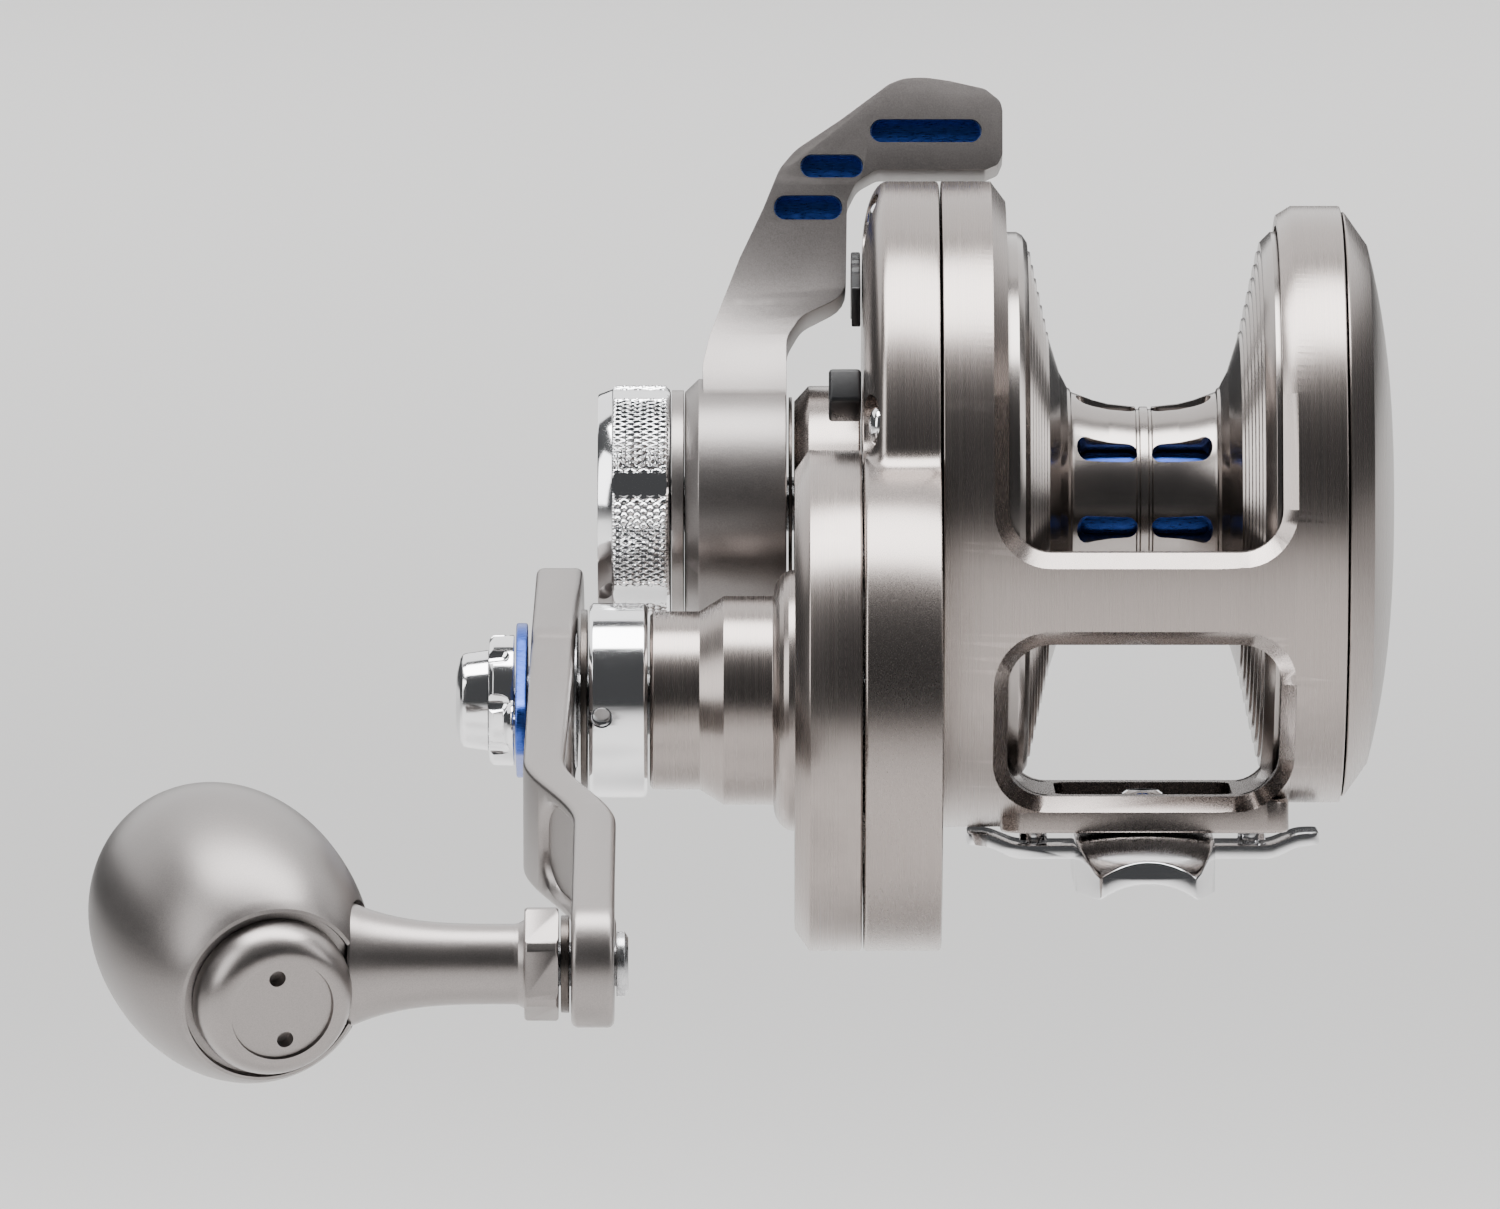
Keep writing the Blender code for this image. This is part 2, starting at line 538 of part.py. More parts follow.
def make_spool():
    """Spool with its slotted arbor, inner sleeve, bearings and drag washer, on the shaft."""
    turned("spool_shaft", rod(-74.0, 29.5, SHAFT_RADIUS, 0.6), "steel", SMALL, SHAFT)
    left = [(FLANGE_LEFT, 35.8), (FLANGE_LEFT, FLANGE_RADIUS), (-16.6, 37.4), (-13.6, 24.0)]
    left += [(-12.0, 18.9), (-9.9, 15.9), (-5.0, 14.15), (0.0, ARBOR_RADIUS)]
    right = [(5.0, 14.15), (9.9, 15.9), (12.0, 18.9), (13.6, 24.0), (16.4, 37.4)]
    right += [(18.1, FLANGE_RADIUS), (FLANGE_RIGHT, FLANGE_RADIUS), (FLANGE_RIGHT, 35.8)]
    inside = [(17.8, 35.8), (17.8, 9.3), (12.4, 9.3), (12.4, 7.6), (11.3, 7.6), (11.3, 12.6)]
    inside += [(-11.3, 12.6), (-11.3, 7.6), (-12.4, 7.6), (-12.4, 9.3), (-17.0, 9.3), (-17.0, 35.8)]
    spool = turned("spool", left + right + inside, "grey_anodised", BIG, SPIN)
    slot = add_object("arbor_slots", slot_cutters(), None, SPIN)
    boolean(spool, slot)
    turned("arbor_sleeve", ring(-11.0, 11.0, 8.4, 12.2), "blue_anodised", MID, SPIN)
    for word, start in (("left", -16.6), ("right", 12.7)):
        bearing = ring(start, start + 3.9, SHAFT_RADIUS + GAP, 9.0)
        turned(f"spool_bearing_{word}", bearing, "steel", SMALL, SPIN)
    turned("carbon_drag_washer", ring(-20.6, -18.6, 19.0, 35.2), "carbon", MID, SPIN)


def slot_cutters():
    """Two rows of long slots through the arbor wall, as one cutter of separate blocks."""
    data = bmesh.new()
    outline = [(-SLOT_HALF_LENGTH, -SLOT_HALF_WIDTH), (SLOT_HALF_LENGTH, -SLOT_HALF_WIDTH)]
    outline += [(SLOT_HALF_LENGTH, SLOT_HALF_WIDTH), (-SLOT_HALF_LENGTH, SLOT_HALF_WIDTH)]
    for row in (-SLOT_ROW, SLOT_ROW):
        for step in range(SLOT_COUNT):
            turn = Matrix.Rotation(SLOT_FIRST + 2.0 * math.pi * step / SLOT_COUNT, 3, "X")
            loops = []
            for height in (ARBOR_RADIUS - 3.0, ARBOR_RADIUS + 4.0):
                loop = [turn @ Vector((row + x, y, height)) for x, y in outline]
                loops.append([data.verts.new(place) for place in loop])
            data.faces.new(loops[0])
            data.faces.new(loops[1])
            for index in range(4):
                after = (index + 1) % 4
                data.faces.new((loops[0][index], loops[0][after], loops[1][after], loops[1][index]))
    return data


def gear(name, teeth, stations, bore, finish, parent, facing):
    """Spur gear whose first tooth (or gap) faces a given angle, with real backlash."""
    pitch_radius = MODULE * teeth / 2.0
    tip = pitch_radius + TOOTH_RISE * MODULE
    root = pitch_radius - TOOTH_DEPTH * MODULE
    tooth = 2.0 * math.pi / teeth
    wide = ROOT_HALF / root
    narrow = TIP_HALF / tip
    outline = []
    for step in range(teeth):
        centre = facing + tooth * step
        for radius, half in ((root, -wide), (tip, -narrow), (tip, narrow), (root, wide)):
            outline.append((radius * math.cos(centre + half), radius * math.sin(centre + half)))
    wheel = add_object(name, prism_mesh(outline, stations[0], stations[1]), finish, parent)
    cut_turned(wheel, f"{name}_bore", rod(stations[0] - 3.0, stations[1] + 3.0, bore), SMALL, parent)
    return wheel


def gear_angles():
    """Direction from the crank shaft to the spool shaft in the (y, z) plane."""
    rise = SPOOL_AXIS[1] - HANDLE_AXIS[1]
    back = SPOOL_AXIS[0] - HANDLE_AXIS[0]
    return math.atan2(rise, back)


def make_gear_train():
    """Drive plate with both pinions on its sleeve, and the crank shaft's two gears."""
    plate = [(-21.6, SHAFT_RADIUS + 0.6), (-21.6, 35.4), (-24.2, 35.4), (-24.2, SLEEVE_RADIUS)]
    plate += [(-47.2, SLEEVE_RADIUS), (-47.2, SHAFT_RADIUS + 0.6)]
    turned("drag_drive_plate", plate, "steel", MID, DRIVE)
    toward = gear_angles()
    bore = SLEEVE_RADIUS + GAP
    half_high = math.pi / HIGH_PINION_TEETH
    half_low = math.pi / LOW_PINION_TEETH
    gear("high_pinion", HIGH_PINION_TEETH, HIGH_PAIR, bore, "steel", DRIVE, toward + math.pi + half_high)
    gear("low_pinion", LOW_PINION_TEETH, LOW_PAIR, bore, "steel", DRIVE, toward + math.pi + half_low)
    turned("drive_bearing", ring(-28.6, -26.6, SLEEVE_RADIUS + GAP, 12.6), "steel", SMALL, SPOOL)
    bore = CRANK_SHAFT_RADIUS + GAP
    gear("high_main_gear", HIGH_GEAR_TEETH, HIGH_PAIR, bore, "bronze", CRANK, toward - CRANK_DROP)
    gear("low_main_gear", LOW_GEAR_TEETH, LOW_PAIR, bore, "bronze", LOW, toward)


def hull_of_two(first, first_radius, second, second_radius, steps=8):
    """Outline around two circles and their common tangents."""
    gap = math.hypot(second[0] - first[0], second[1] - first[1])
    spread = math.degrees(math.acos((first_radius - second_radius) / gap))
    heading = math.degrees(math.atan2(second[1] - first[1], second[0] - first[0]))
    outline = arc(second, second_radius, heading - spread, heading + spread, steps)
    return outline + arc(first, first_radius, heading + spread, heading + 360 - spread, 2 * steps)


def make_crank():
    """Crank shaft, arm and the stack on its end, with the shift button's nut."""
    shaft = [(-36.0, 0.0), (-36.0, 2.2), (-89.0, 2.2), (-89.0, CRANK_SHAFT_RADIUS)]
    shaft += [(-31.6, CRANK_SHAFT_RADIUS), (-31.6, 0.0)]
    turned("crank_shaft", shaft, "steel", SMALL, CRANK)
    ratchet_outline = []
    for step in range(12):
        angle = 2.0 * math.pi * step / 12
        ratchet_outline.append((12.0 * math.cos(angle), 12.0 * math.sin(angle)))
        ratchet_outline.append((9.8 * math.cos(angle + 0.05), 9.8 * math.sin(angle + 0.05)))
    wheel = add_object("ratchet_wheel", prism_mesh(ratchet_outline, -33.9, -32.3), "steel", CRANK)
    cut_turned(wheel, "ratchet_bore", rod(-36.0, -30.0, CRANK_SHAFT_RADIUS + GAP), SMALL, CRANK)

    turned("crank_collar", ring(-78.7, -70.5, CRANK_SHAFT_RADIUS + GAP, 13.7, 0.5), "chrome", MID, CRANK)
    turned("crank_spacer", ring(-79.9, -79.0, CRANK_SHAFT_RADIUS + GAP, 12.8), "bronze", MID, CRANK)
    turned("crank_washer", ring(-81.3, -80.4, CRANK_SHAFT_RADIUS + GAP, 9.5), "steel", SMALL, CRANK)
    make_arm()
    plate = hull_of_two((0.0, 0.0), 10.9, LOCK_PLACE, 4.6)
    plate_left = LOCK_FACE - 1.6
    lock = add_object("lock_plate", prism_mesh(plate, plate_left, LOCK_FACE), "blue_anodised", CRANK)
    cut_turned(lock, "lock_plate_bore", rod(-95.0, -80.0, CRANK_SHAFT_RADIUS + GAP), SMALL, CRANK)
    cut_turned(lock, "lock_screw_hole", rod(-95.0, -80.0, 1.6), TINY, CRANK, LOCK_PLACE)
    head = plate_left - GAP
    screw = [(head - 1.6, 0.0), (head - 1.5, 1.6), (head - 0.8, 3.0), (head, 3.4), (head, 1.3)]
    turned("lock_screw", screw + [(-83.4, 1.3), (-83.4, 0.0)], "chrome", TINY, CRANK, LOCK_PLACE)
    nut = [(-92.8, 7.5), (-92.8, 8.6), (-92.2, 9.2), (head, 9.2)]
    nut += [(head, CRANK_SHAFT_RADIUS + GAP), (head - 0.3, CRANK_SHAFT_RADIUS + GAP), (head - 0.3, 7.5)]
    handle_nut = turned("handle_nut", nut, "chrome", MID, CRANK)
    for step in range(8):
        angle = math.radians(32 - 15 + 45 * step)
        place = (-10.2 * math.cos(angle), 10.2 * math.sin(angle))
        flute = rod(-92.0, -88.0, 1.5)
        cut_turned(handle_nut, f"nut_flute_{step + 1}", flute, 10, CRANK, place)


def arm_outline():
    """Arm in its own plane: the grip end is at -y, the tail behind the shaft at +y."""
    far = arc((-ARM_THROW, 0.0), ARM_HALF_WIDTH, 90, 270, 10)
    hub = arc((0.0, 0.0), ARM_HUB_RADIUS, 230, 275, 3)
    tail = arc((ARM_TAIL - TAIL_RADIUS, 0.0), TAIL_RADIUS, -87, 87, 10)
    return far + hub + tail + [(y, -z) for y, z in reversed(hub)]


def make_arm():
    """Joggled arm with its drive holes, and the grip's spindle with its clip."""
    data = prism_mesh(arm_outline(), 0.0, ARM_THICKNESS)
    for distance in (JOG_START, JOG_END):
        everything = data.verts[:] + data.edges[:] + data.faces[:]
        place = (0.0, -distance, 0.0)
        bmesh.ops.bisect_plane(data, geom=everything, plane_co=place, plane_no=(0.0, 1.0, 0.0))
    for vertex in data.verts:
        along = (-vertex.co.y - JOG_START) / (JOG_END - JOG_START)
        behind = max(0.0, vertex.co.y + JOG_START) / (JOG_START + ARM_TAIL)
        lean = TAIL_LEAN_INNER if vertex.co.x > 0.0 else TAIL_LEAN_OUTER
        vertex.co.x += ARM_OUTER + JOG_DEPTH * min(1.0, max(0.0, along)) + lean * behind
    arm = add_object("handle_arm", data, "grey_anodised", CRANK)
    bore = rod(-95.0, -70.0, CRANK_SHAFT_RADIUS + GAP)
    cut_turned(arm, "arm_bore", bore, SMALL, CRANK)
    cut_turned(arm, "washer_seat", rod(-81.6, -75.0, 9.9), SMALL, CRANK)
    for index, reach in enumerate(TAIL_HOLES):
        cut_turned(arm, f"tail_hole_{index + 1}", rod(-95.0, -70.0, 3.2), SMALL, CRANK, (reach, 0.0))
    cut_turned(arm, "arm_lock_hole", rod(-95.0, -83.0, 1.6), TINY, CRANK, LOCK_PLACE)
    cut_turned(arm, "spindle_hole", rod(-95.0, -70.0, 3.3), SMALL, CRANK, (-ARM_THROW, 0.0))
    arm_inner = ARM_OUTER + ARM_THICKNESS + JOG_DEPTH
    pin = [(-115.5, 0.0), (-115.5, 3.0), (arm_inner + GAP, 3.0), (arm_inner + GAP, 4.4)]
    pin += [(arm_inner + 1.5, 4.4), (arm_inner + 1.9, 3.6), (arm_inner + 1.9, 0.0)]
    turned("grip_spindle", pin, "steel", SMALL, GRIP_ON_ARM)
    washer = ring(ARM_OUTER + JOG_DEPTH - 1.4, ARM_OUTER + JOG_DEPTH - GAP, 3.3, 6.6)
    turned("spindle_washer", washer, "bronze", SMALL, GRIP_ON_ARM)


def make_shift():
    """Push button in the handle nut, and the rod that selects the gear from it."""
    button = [(-97.5, 0.0), (-97.3, 4.6), (-96.5, 6.5), (-92.9, 7.1), (-92.9, 2.1)]
    button += [(-94.4, 2.1), (-94.4, 0.0)]
    turned("shift_button", button, "chrome", MID, SHIFT)
    turned("shift_rod", rod(-94.1, -41.0, 1.8, 0.3), "steel", TINY, SHIFT)


def egg_radius(along):
    """Radius of the egg-shaped grip at a distance from its middle."""
    return GRIP_RADIUS * math.sqrt(1.0 - abs(2.0 * along / GRIP_LENGTH) ** GRIP_BLUNTNESS)


def along_grip(name, profile, finish, segments):
    """A piece turned about the egg's own axis, which slants across the spindle."""
    data = turned_mesh(profile, segments)
    turn = Matrix.Rotation(GRIP_TILT, 3, "X") @ Matrix.Rotation(GRIP_TWIST - math.pi / 2, 3, "Z")
    bmesh.ops.rotate(data, matrix=turn, verts=data.verts)
    middle = (GRIP_CENTRE_X, GRIP_OFFSET * math.cos(GRIP_TILT), GRIP_OFFSET * math.sin(GRIP_TILT))
    bmesh.ops.translate(data, vec=middle, verts=data.verts)
    return add_object(name, data, finish, GRIP)


def make_grip():
    """Egg-shaped power grip: stem on the spindle, body, and an end cap on each side."""
    stem = [(-82.0, 5.5), (-82.0, 7.7), (-86.6, 7.7), (-86.6, 6.2), (-87.4, 5.45), (-99.0, 5.45)]
    stem += [(-104.5, 6.2), (-108.4, 7.6), (-110.0, 8.4), (-110.4, 8.4), (-110.4, 5.0), (-117.0, 5.0)]
    turned("grip_stem", stem + [(-117.0, 3.4), (-85.6, 3.4), (-85.6, 5.5)], "chrome", MID, GRIP)
    turned("grip_bearing", ring(-85.3, -82.3, 3.3, 5.2), "steel", SMALL, GRIP)
    steps = 12
    body = [(-GRIP_SEAM, 0.0)]
    for step in range(steps + 1):
        along = GRIP_SEAM * (2.0 * step / steps - 1.0)
        body.append((along, egg_radius(along)))
    egg = along_grip("grip_body", body + [(GRIP_SEAM, 0.0)], "blasted_grey", MID)
    cut_turned(egg, "stem_seat", rod(-110.7, -95.0, 8.75), MID, GRIP)
    cut_turned(egg, "stem_socket", rod(-117.4, -96.0, 5.3), SMALL, GRIP)
    for word, sign in (("front", 1.0), ("rear", -1.0)):
        start = GRIP_SEAM + GAP
        cap = [(sign * start, 0.0)]
        for step in range(4):
            along = start + (GRIP_END - start) * step / 3
            cap.append((sign * along, egg_radius(along)))
        piece = along_grip(f"grip_cap_{word}", cap + [(sign * GRIP_END, 0.0)], "chrome", MID)
        cut_turned(piece, f"cap_seat_{word}", rod(-110.7, -95.0, 8.75), MID, GRIP)


def make_dog():
    """Silent anti-reverse dog on its own pin beside the ratchet wheel."""
    dog = hull_of_two((0.0, 0.0), 3.0, (-11.4, 0.0), 0.9)
    piece = add_object("anti_reverse_dog", prism_mesh(dog, -33.7, -32.5), "steel", DOG)
    cut_turned(piece, "dog_bore", rod(-36.0, -30.0, 1.5), TINY, DOG)
    turned("dog_pin", rod(-34.0, -31.3, 1.2), "steel", TINY, DOG_BASE)


def spindle_place():
    """(y, z) of the grip's spindle."""
    y = HANDLE_AXIS[0] - ARM_THROW * math.cos(CRANK_DROP)
    z = HANDLE_AXIS[1] - ARM_THROW * math.sin(CRANK_DROP)
    return (y, z)


clear_scene()
MATERIALS = {name: finish_material(name, *look) for name, look in FINISHES.items()}
SPOOL = axis_empty("spool_axis", SPOOL_AXIS)
LEVER = axis_empty("lever_axis", SPOOL_AXIS, -LEVER_LEAN)
PRESET = axis_empty("preset_axis", SPOOL_AXIS)
SHAFT = axis_empty("shaft_axis", SPOOL_AXIS)
SPIN = axis_empty("spin_axis", SPOOL_AXIS)
DRIVE = axis_empty("drive_axis", SPOOL_AXIS)
CRANK_BASE = axis_empty("crank_base", HANDLE_AXIS)
CRANK = axis_empty("crank_axis", HANDLE_AXIS, CRANK_DROP)
LOW = axis_empty("low_gear_axis", HANDLE_AXIS)
SHIFT = axis_empty("shift_axis", HANDLE_AXIS)
GRIP_ON_ARM = axis_empty("spindle_axis", spindle_place())
GRIP = axis_empty("grip_axis", spindle_place())
DOG_PLACE = (HANDLE_AXIS[0] + 10.0, HANDLE_AXIS[1] - 17.3)
DOG_BASE = axis_empty("dog_base", DOG_PLACE)
DOG = axis_empty("dog_axis", DOG_PLACE, math.radians(-18.3))
make_frame()
make_gear_housing()
make_palm_side()
make_foot()
make_drag_lever()
make_preset_knob()
make_spool()
make_gear_train()
make_crank()
make_shift()
make_grip()
make_dog()
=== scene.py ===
"""Looks of the lever-drag trolling reel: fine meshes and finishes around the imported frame.

Lengths below are millimetres until add_piece() turns them into metres.  Turned pieces are
modelled around their shaft's axis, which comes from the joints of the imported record.
"""
import json
from math import acos, asin, atan2, copysign, cos, degrees, dist, hypot, pi, radians, sin, sqrt, tan

import bmesh
import bpy
from mathutils import Matrix, Vector


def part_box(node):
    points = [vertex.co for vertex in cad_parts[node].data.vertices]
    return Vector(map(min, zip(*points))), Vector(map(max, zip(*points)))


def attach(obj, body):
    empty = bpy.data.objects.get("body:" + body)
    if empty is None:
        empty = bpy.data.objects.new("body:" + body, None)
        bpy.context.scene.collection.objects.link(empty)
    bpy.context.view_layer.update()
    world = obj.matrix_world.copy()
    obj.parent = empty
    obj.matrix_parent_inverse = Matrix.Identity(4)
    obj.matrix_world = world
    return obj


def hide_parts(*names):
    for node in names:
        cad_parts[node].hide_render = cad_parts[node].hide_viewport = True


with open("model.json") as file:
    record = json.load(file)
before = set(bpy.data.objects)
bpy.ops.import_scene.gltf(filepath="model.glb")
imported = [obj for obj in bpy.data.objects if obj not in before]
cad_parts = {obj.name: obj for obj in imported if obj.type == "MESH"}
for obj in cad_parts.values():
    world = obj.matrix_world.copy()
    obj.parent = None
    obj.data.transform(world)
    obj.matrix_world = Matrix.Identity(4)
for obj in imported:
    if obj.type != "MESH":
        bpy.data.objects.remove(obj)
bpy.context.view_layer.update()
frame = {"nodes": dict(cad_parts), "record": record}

MM = 0.001
JOINTS = {joint["name"]: joint for joint in frame["record"]["behaviour"]["joints"]}


def joint_place(name):
    """(y, z) of a joint's axis in millimetres."""
    place = JOINTS[name]["pos_m"]
    return (place[1] / MM, place[2] / MM)


def span(node):
    """Lowest and highest corner of a CAD node in millimetres."""
    low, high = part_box(node)
    return [value / MM for value in low], [value / MM for value in high]


SPOOL_AXIS = joint_place("spool_spin")
CRANK_AXIS = joint_place("crank_spin")
GRIP_AXIS = joint_place("grip_spin")
CRANK_DROP = atan2(CRANK_AXIS[1] - GRIP_AXIS[1], CRANK_AXIS[0] - GRIP_AXIS[0])
ARM_THROW = dist(CRANK_AXIS, GRIP_AXIS)
LEVER_LEAN = radians(16)

# ---------------- mesh helpers

STRAIGHT = radians(172)
LONGEST_TRIM = 0.46
ALONG_Y, ALONG_Z = Vector((0.0, 1.0, 0.0)), Vector((0.0, 0.0, 1.0))


def soften(points, radius, closed, steps=3):
    """Round every corner of a profile or outline with a small arc."""
    count = len(points)
    result = []
    for index, point in enumerate(points):
        if not closed and index in (0, count - 1):
            result.append(point)
            continue
        here = Vector(point)
        before = Vector(points[index - 1]) - here
        after = Vector(points[(index + 1) % count]) - here
        reach = radius[index] if isinstance(radius, list) else radius
        if before.length < 1e-6 or after.length < 1e-6 or reach == 0.0:
            result.append(point)
            continue
        turn = before.angle(after)
        if turn > STRAIGHT:
            result.append(point)
            continue
        trim = min(reach / tan(turn / 2), LONGEST_TRIM * before.length, LONGEST_TRIM * after.length)
        start = here + before.normalized() * trim
        end = here + after.normalized() * trim
        for step in range(steps + 1):
            share = step / steps
            first = start.lerp(here, share)
            second = here.lerp(end, share)
            result.append(tuple(first.lerp(second, share)))
    return result


def arc(centre, radius, start, end, steps):
    """Points on a circle, from one angle to another in degrees, both ends included."""
    points = []
    for step in range(steps + 1):
        angle = radians(start + (end - start) * step / steps)
        points.append((centre[0] + radius * cos(angle), centre[1] + radius * sin(angle)))
    return points


def circle(centre, radius):
    """Full circle as an outline."""
    return arc(centre, radius, 0, 350, 35)


def polar(radius, turn):
    """(y, z) at a distance and an angle in degrees from an axis along X."""
    angle = radians(turn)
    return (radius * cos(angle), radius * sin(angle))


def quarter(first, last, steps):
    """Points after the first one on a quarter ellipse, which leaves it along X."""
    points = []
    for step in range(1, steps + 1):
        turn = pi / 2 * step / steps
        points.append((first[0] + (last[0] - first[0]) * sin(turn),
                       last[1] + (first[1] - last[1]) * cos(turn)))
    return points


def loft(rings, loop=False):
    """Skin between rings of (x, y, z) points: a solid with two end faces, or a closed loop."""
    data = bmesh.new()
    loops = [[data.verts.new(place) for place in ring] for ring in rings]
    count = len(loops[0])
    pairs = list(zip(loops, loops[1:]))
    if loop:
        pairs.append((loops[-1], loops[0]))
    for first, second in pairs:
        for index in range(count):
            after = (index + 1) % count
            data.faces.new((first[index], first[after], second[after], second[index]))
    if not loop:
        data.faces.new(loops[0])
        data.faces.new(loops[-1])
    return data


def circle_ring(x, radius, segments, centre=(0.0, 0.0)):
    """Circle round the X axis, or round a parallel to it, as (x, y, z) points."""
    ring = []
    for step in range(segments):
        angle = 2.0 * pi * step / segments
        y = centre[0] + radius * cos(angle)
        ring.append((x, y, centre[1] + radius * sin(angle)))
    return ring


def lathe(profile, segments=128, centre=(0.0, 0.0), edge=0.2):
    """Revolve (x, radius) points about X.  Ends on the axis close the solid flat."""
    solid = profile[0][1] == 0.0
    points = soften(profile, edge, not solid) if edge else list(profile)
    if solid:
        points = points[1:-1]
    rings = [circle_ring(x, radius, segments, centre) for x, radius in points]
    return loft(rings, loop=not solid)


def washer(start, end, inner, outer, edge=0.15, segments=96):
    """Ring with a rectangular section."""
    return lathe([(start, inner), (start, outer), (end, outer), (end, inner)], segments, edge=edge)


def drill(start, end, radius, place=(0.0, 0.0), segments=64):
    """Cylinder along X, for cutting a hole."""
    return lathe([(start, 0.0), (start, radius), (end, radius), (end, 0.0)], segments, place, 0)


def prism(outline, start, end, axis="X"):
    """Extrude an outline along X (y, z points), Y (x, z points) or Z (x, y points)."""
    slot = "XYZ".index(axis)
    return loft([[(*point[:slot], station, *point[slot:]) for point in outline] for station in (start, end)])


def rounded_box(left, right, bottom, top, corner, steps=10):
    """Outline of a rectangle with round corners."""
    outline = arc((right - corner, bottom + corner), corner, -90, 0, steps)
    outline += arc((right - corner, top - corner), corner, 0, 90, steps)
    outline += arc((left + corner, top - corner), corner, 90, 180, steps)
    return outline + arc((left + corner, bottom + corner), corner, 180, 270, steps)


def moved(data, matrix):
    bmesh.ops.transform(data, matrix=matrix, verts=data.verts)
    return data


def slide(data, x=0.0, y=0.0, z=0.0):
    return moved(data, Matrix.Translation((x, y, z)))


def sliced(data, axis, stations):
    """Split the faces of a bmesh at stations along an axis, so that they can bend there."""
    for station in stations:
        everything = data.verts[:] + data.edges[:] + data.faces[:]
        bmesh.ops.bisect_plane(data, geom=everything, plane_co=axis * station, plane_no=axis)
    return data


def as_mesh(data, name):
    """Mesh made from a bmesh, which is freed."""
    mesh = bpy.data.meshes.new(name)
    data.to_mesh(mesh)
    data.free()
    return mesh


def linked(name, data):
    """New object in the scene for a mesh, a light or a camera."""
    thing = bpy.data.objects.new(name, data)
    bpy.context.scene.collection.objects.link(thing)
    return thing


def raw_object(data, name):
    """Plain object for the modifiers to work on."""
    bmesh.ops.recalc_face_normals(data, faces=data.faces)
    return linked(name, as_mesh(data, name))


def baked(piece):
    """The piece's mesh with its modifiers applied, as a bmesh; the piece is removed."""
    depsgraph = bpy.context.evaluated_depsgraph_get()
    data = bmesh.new()
    data.from_mesh(bpy.data.meshes.new_from_object(piece.evaluated_get(depsgraph)))
    bpy.data.objects.remove(piece)
    return data


def combine(data, tools, operation="DIFFERENCE"):
    """Cut a bmesh with others, or join it to them, one exact Boolean after another."""
    base = raw_object(data, "boolean_base")
    helpers = [raw_object(tool, f"boolean_tool_{index}") for index, tool in enumerate(tools)]
    for helper in helpers:
        modifier = base.modifiers.new(helper.name, "BOOLEAN")
        modifier.solver = "EXACT"
        modifier.operation = operation
        modifier.object = helper
    result = baked(base)
    for helper in helpers:
        bpy.data.objects.remove(helper)
    return result


def bevelled(data, width, segments=3, angle=35):
    """Round the sharp edges of a bmesh."""
    piece = raw_object(data, "bevel_base")
    modifier = piece.modifiers.new("edges", "BEVEL")
    modifier.width = width
    modifier.segments = segments
    modifier.limit_method = "ANGLE"
    modifier.angle_limit = radians(angle)
    modifier.miter_outer = "MITER_ARC"
    modifier.use_clamp_overlap = True
    return baked(piece)


def add_piece(name, data, finish, body, node="", place=(0.0, 0.0), turn=0.0, sharp=32):
    """Finish a bmesh as a piece on its axis: smooth, in metres, riding on a body."""
    material, slot = finish
    bmesh.ops.recalc_face_normals(data, faces=data.faces)
    moved(data, Matrix.Scale(MM, 4) @ Matrix.Rotation(turn, 4, "X"))
    mesh = as_mesh(data, name)
    mesh.shade_smooth()
    mesh.set_sharp_from_angle(angle=radians(sharp))
    mesh.materials.append(material)
    piece = linked(name, mesh)
    piece.location = (0.0, place[0] * MM, place[1] * MM)
    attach(piece, body)
    if node:
        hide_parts(node)

# ---------------- finishes


def fill(node, values):
    """Set the values of a node's unlinked sockets."""
    for socket, value in values.items():
        node.inputs[socket].default_value = value


